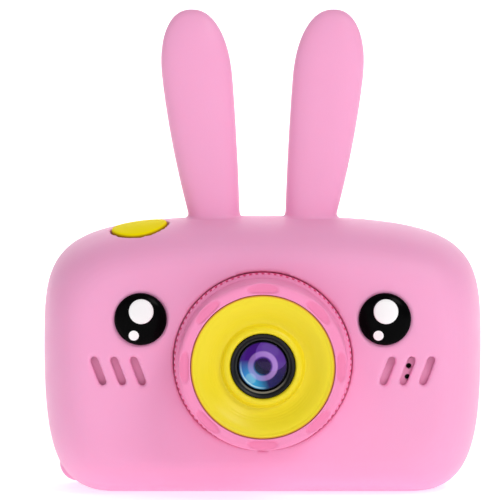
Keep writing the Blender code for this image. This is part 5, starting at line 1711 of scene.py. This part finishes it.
    def screws(self, repeat: Repeat) -> None:
        """The four casing screws with tapered cross recesses."""
        corners = [(0, 1.4, 0), (1.3, 1.4, 0.5), (1.8, 0.7, 0.4), (1.8, 0.0, 0.1), (0.95, 0.0, 0.1)]
        threads = []
        for turn in range(18):
            height = -1.2 - 0.75 * turn
            threads += [(0.72, height, 0.05), (0.95, height - 0.3, 0.05)]
        corners += threads + [(0.5, -15.2, 0.1), (0, -15.6, 0)]
        screw = lathe("screw", rounded(corners, False, 2), REARWARD, steps=32)
        arms = []
        for index in range(2):
            turn = REARWARD @ Matrix.Rotation(index * math.pi / 2, 4, "Z")
            arms.append(prism(f"arm_{index}", box_outline(2.2, 0.5, 0.1), 0.7, 3, turn))
        carve(screw, arms)
        crisp(screw, 40)
        places = [(x, 10.9, z) for x, z in self.screw_places()]
        made = repeat.make("case_screws", screw, Finishes.STEEL, places)
        nodes = [f"case_screw_{row}_{side}" for row in ("lower", "upper") for side in ("left", "right")]
        settle(made, BODY, "bright_steel", *nodes)

    def finish(self, places: Repeat) -> None:
        """Builds the whole rear."""
        self.shell()
        self.glass()
        self.keys()
        self.screws(places)


@dataclass
class Ports:
    """The charging socket and the memory card at the side, in millimetres."""

    wall: float = 0.3

    @staticmethod
    def _span(node: str) -> tuple[Vector, Vector]:
        """A node's box corners in millimetres."""
        low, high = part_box(node)
        return Vector(low) / MM, Vector(high) / MM

    def socket(self, row: Repeat) -> None:
        """The rolled steel shell of the socket, its tongue and its contacts."""
        low, high = self._span("usb_port")
        middle = (low + high) / 2
        thick, width = high.y - low.y, high.z - low.z
        sideways = Matrix.Translation((0, middle.y, middle.z)) @ Matrix(
            ((0, 0, 1, 0), (1, 0, 0, 0), (0, 1, 0, 0), (0, 0, 0, 1))
        )
        outer = box_outline(thick, width, thick / 2 - 0.02, steps=12)
        bore, bore_width = thick - 2 * self.wall, width - 2 * self.wall
        inner = box_outline(bore, bore_width, thick / 2 - self.wall - 0.02, steps=12)
        shell = prism("socket_shell", outer, low.x, high.x, sideways, Finishes.STEEL)
        carve(shell, [prism("socket_bore", inner, low.x + 0.6, high.x + 1, sideways)])
        settle(crisp(bevelled(shell, 0.08, 2, 60)), BODY, "bright_steel", "usb_port")
        slab = box_outline(0.6, width - 2.4, 0.25)
        tongue = prism("socket_tongue", slab, low.x + 0.5, high.x - 0.9, sideways, Finishes.CHIP)
        settle(crisp(tongue), BODY, "chip_black")
        contact = prism("contact", box_outline(0.08, 0.28, 0.03, steps=2), -1.1, 1.1, sideways)
        shift = Vector((high.x - 2.3, middle.y - 0.3, low.z + 1.75)) - Vector((0, middle.y, middle.z))
        contacts = row.make(
            "socket_contacts",
            contact,
            Finishes.GOLD,
            Count=8,
            Step=(0.0, 0.0, 0.57 * MM),
            Start=tuple(shift * MM),
        )
        settle(contacts, BODY, "bright_steel")

    def card(self, row: Repeat) -> None:
        """The memory card with its notch and contacts."""
        low, high = self._span("memory_card")
        notch = 1.1
        outline = [
            (low.x, low.z),
            (high.x, low.z),
            (high.x, high.z),
            (low.x + 4.6, high.z),
            (low.x + 3.6, high.z - notch),
            (low.x, high.z - notch),
        ]
        made = front_plate("card_body", outline, low.y, high.y, Finishes.CARD)
        settle(crisp(bevelled(made, 0.1, 2)), "memory_card", "chip_black", "memory_card")
        contact = front_plate("pad", box_outline(2.6, 0.8, 0.12, steps=2), high.y - 0.02, high.y + 0.01)
        pads = row.make(
            "card_contacts",
            contact,
            Finishes.GOLD,
            Count=8,
            Step=(0.0, 0.0, 1.1 * MM),
            Start=((low.x + 1.9) * MM, 0.0, (low.z + 1.0) * MM),
        )
        settle(pads, "memory_card", "bright_steel")

    def finish(self, row: Repeat) -> None:
        """Builds both."""
        self.socket(row)
        self.card(row)


@dataclass
class Inside:
    """The finishes of the solids that keep their own shape, and the chips' pins."""

    finishes: dict[str, Finishes] = field(
        default_factory=lambda: {
            "front_shell": Finishes.SHELL,
            "lens_rear_element": Finishes.ELEMENT,
            "lens_holder": Finishes.BARREL,
            "ir_filter": Finishes.FILTER,
            "image_sensor": Finishes.CHIP,
            "sensor_board": Finishes.BOARD,
            "sensor_flex": Finishes.FLEX,
            "shutter_switch": Finishes.CHIP,
            "shutter_board": Finishes.BOARD,
            "lcd_gasket": Finishes.FOAM,
            "lcd_module": Finishes.PANEL,
            "lcd_flex": Finishes.FLEX,
            "main_board": Finishes.BOARD,
            "board_screw_left": Finishes.STEEL,
            "board_screw_right": Finishes.STEEL,
            "processor_chip": Finishes.CHIP,
            "memory_chip": Finishes.CHIP,
            "card_socket": Finishes.STEEL,
            "battery": Finishes.FOIL,
            "battery_plug": Finishes.NYLON,
            "battery_lead_black": Finishes.LEAD_BLACK,
            "battery_lead_red": Finishes.LEAD_RED,
            "speaker": Finishes.CHIP,
            "speaker_gasket": Finishes.FOAM,
            "microphone": Finishes.STEEL,
        }
    )

    def dress_solids(self) -> None:
        """Gives each kept solid its finish."""
        for name in ("ok", "up", "down", "left", "right", "power", "menu"):
            self.finishes[f"key_switch_{name}"] = Finishes.STEEL
        for name, finish in self.finishes.items():
            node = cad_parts[name]
            node.data.materials.clear()
            node.data.materials.append(finish.material)
            LOG.info("%s: %s", name, finish.value.name)

    def pins(self, row: Repeat) -> None:
        """Rows of gull-wing pins along the processor's and the memory's sides."""
        for node, count in (("processor_chip", 12), ("memory_chip", 8)):
            low, high = (Vector(corner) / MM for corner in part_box(node))
            pitch = (high.z - low.z - 1.0) / (count - 1)
            for side, edge in ((-1, low.x), (1, high.x)):
                foot = box_outline(0.5, 0.22, 0.06, (side * 0.25, 0), 1)
                pin = front_plate("pin", foot, high.y - 0.35, high.y - 0.12)
                made = row.make(
                    f"{node}_pins_{'left' if side < 0 else 'right'}",
                    pin,
                    Finishes.STEEL,
                    Count=count,
                    Step=(0.0, 0.0, pitch * MM),
                    Start=(edge * MM, 0.0, (low.z + 0.5) * MM),
                )
                settle(made, BODY, "bright_steel")

    def finish(self, row: Repeat) -> None:
        """Dresses the solids and adds the pins."""
        self.dress_solids()
        self.pins(row)


@dataclass
class Studio:
    """The floor, the lights and the camera, in metres."""

    distance: float = 0.9
    elevation: float = 4.8
    field: float = 0.1087
    target: Corner = (-0.00272, 0.0, 0.0520)
    sensor: float = 36.0

    def floor(self) -> None:
        """A plain pale sweep that rises behind the camera."""
        bm = bmesh.new()
        start, bend, top = 1.6, 0.5, 3.0
        depth = [(-3.0, 0.0), (start, 0.0)]
        for turn in (math.pi / 2 * step / 16 for step in range(1, 17)):
            depth.append((start + bend * math.sin(turn), bend - bend * math.cos(turn)))
        depth.append((start + bend, top))
        rows = [[bm.verts.new((x / MM, y / MM, z / MM)) for y, z in depth] for x in (-3.0, 3.0)]
        for step in range(len(depth) - 1):
            bm.faces.new((rows[0][step], rows[1][step], rows[1][step + 1], rows[0][step + 1]))
        made = piece("studio_sweep", bm)
        shader = Shader("sweep_white")
        white = shader.blend(shader.noise(3.0), (0.86, 0.86, 0.86), (0.88, 0.88, 0.88))
        shader.set(Base_Color=white, Roughness=0.9)
        shader.set(Emission_Color=(1.0, 1.0, 1.0, 1.0), Emission_Strength=0.5)
        made.data.materials.append(shader.material)

    def _light(
        self,
        name: str,
        place: Corner,
        aim: Corner,
        size: float,
        power: float,
        tint: Colour = (1.0, 1.0, 1.0),
        disk: bool = False,
    ) -> None:
        """One soft light.

        Args:
            name: its name.
            place: where it stands.
            aim: the point that it looks at.
            size: its side or its diameter.
            power: its power in watts.
            tint: its colour.
            disk: whether it is round.
        """
        data = bpy.data.lights.new(name, "AREA")
        data.shape, data.size, data.energy, data.color = "DISK" if disk else "SQUARE", size, power, tint
        made = bpy.data.objects.new(name, data)
        made.location = place
        made.rotation_euler = (Vector(aim) - Vector(place)).to_track_quat("-Z", "Y").to_euler()
        bpy.context.collection.objects.link(made)

    def lights(self) -> None:
        """A high key from the right, a low fill from the left, a wash on the sweep and a pale surround."""
        middle = (0.0, 0.0, 0.04)
        self._light("key", (0.5, -0.6, 0.72), middle, 0.4, 3.5, (1.0, 0.99, 0.97))
        self._light("fill", (-0.9, -0.9, 0.25), middle, 0.9, 1.4, (0.98, 0.98, 1.0))
        self._light("lens_light", (0.2, -0.93, 0.36), (0.0, -0.03, 0.03), 0.46, 0.8, (0.93, 0.9, 1.0), True)
        self._light("wash", (0.0, 0.9, 0.9), (0.0, 1.5, 0.1), 1.4, 16.0)
        world = bpy.data.worlds.new("surround")
        world.use_nodes = True
        background = world.node_tree.nodes["Background"]
        background.inputs["Color"].default_value = (1.0, 1.0, 1.0, 1.0)
        background.inputs["Strength"].default_value = 0.32
        bpy.context.scene.world = world
        bpy.context.scene.view_settings.view_transform = "Standard"

    def camera(self) -> None:
        """The camera at the front, slightly above."""
        data = bpy.data.cameras.new("camera_view")
        data.sensor_width = self.sensor
        data.lens = self.sensor * self.distance / self.field
        data.clip_start, data.clip_end = 0.01, 20.0
        made = bpy.data.objects.new("camera_view", data)
        rise = math.radians(self.elevation)
        target = Vector(self.target)
        made.location = target + Vector((0, -math.cos(rise), math.sin(rise))) * self.distance
        made.rotation_euler = (target - made.location).to_track_quat("-Z", "Y").to_euler()
        bpy.context.collection.objects.link(made)
        bpy.context.scene.camera = made

    def finish(self) -> None:
        """Sets the stage."""
        self.floor()
        self.lights()
        self.camera()


def main() -> None:
    """Builds the camera's pieces in order, then the studio."""
    logging.basicConfig(level=logging.INFO, format="%(name)s: %(message)s")
    ring, row, places = (Repeat(kind) for kind in (Array.RING, Array.ROW, Array.PLACES))
    sleeve = Sleeve()
    sleeve.finish()
    Eyes().finish(sleeve)
    LensGroup().finish(ring)
    Shutter().finish(sleeve)
    RearPanel().finish(places)
    Ports().finish(row)
    Inside().finish(row)
    Studio().finish()


if __name__ == "__main__":
    main()
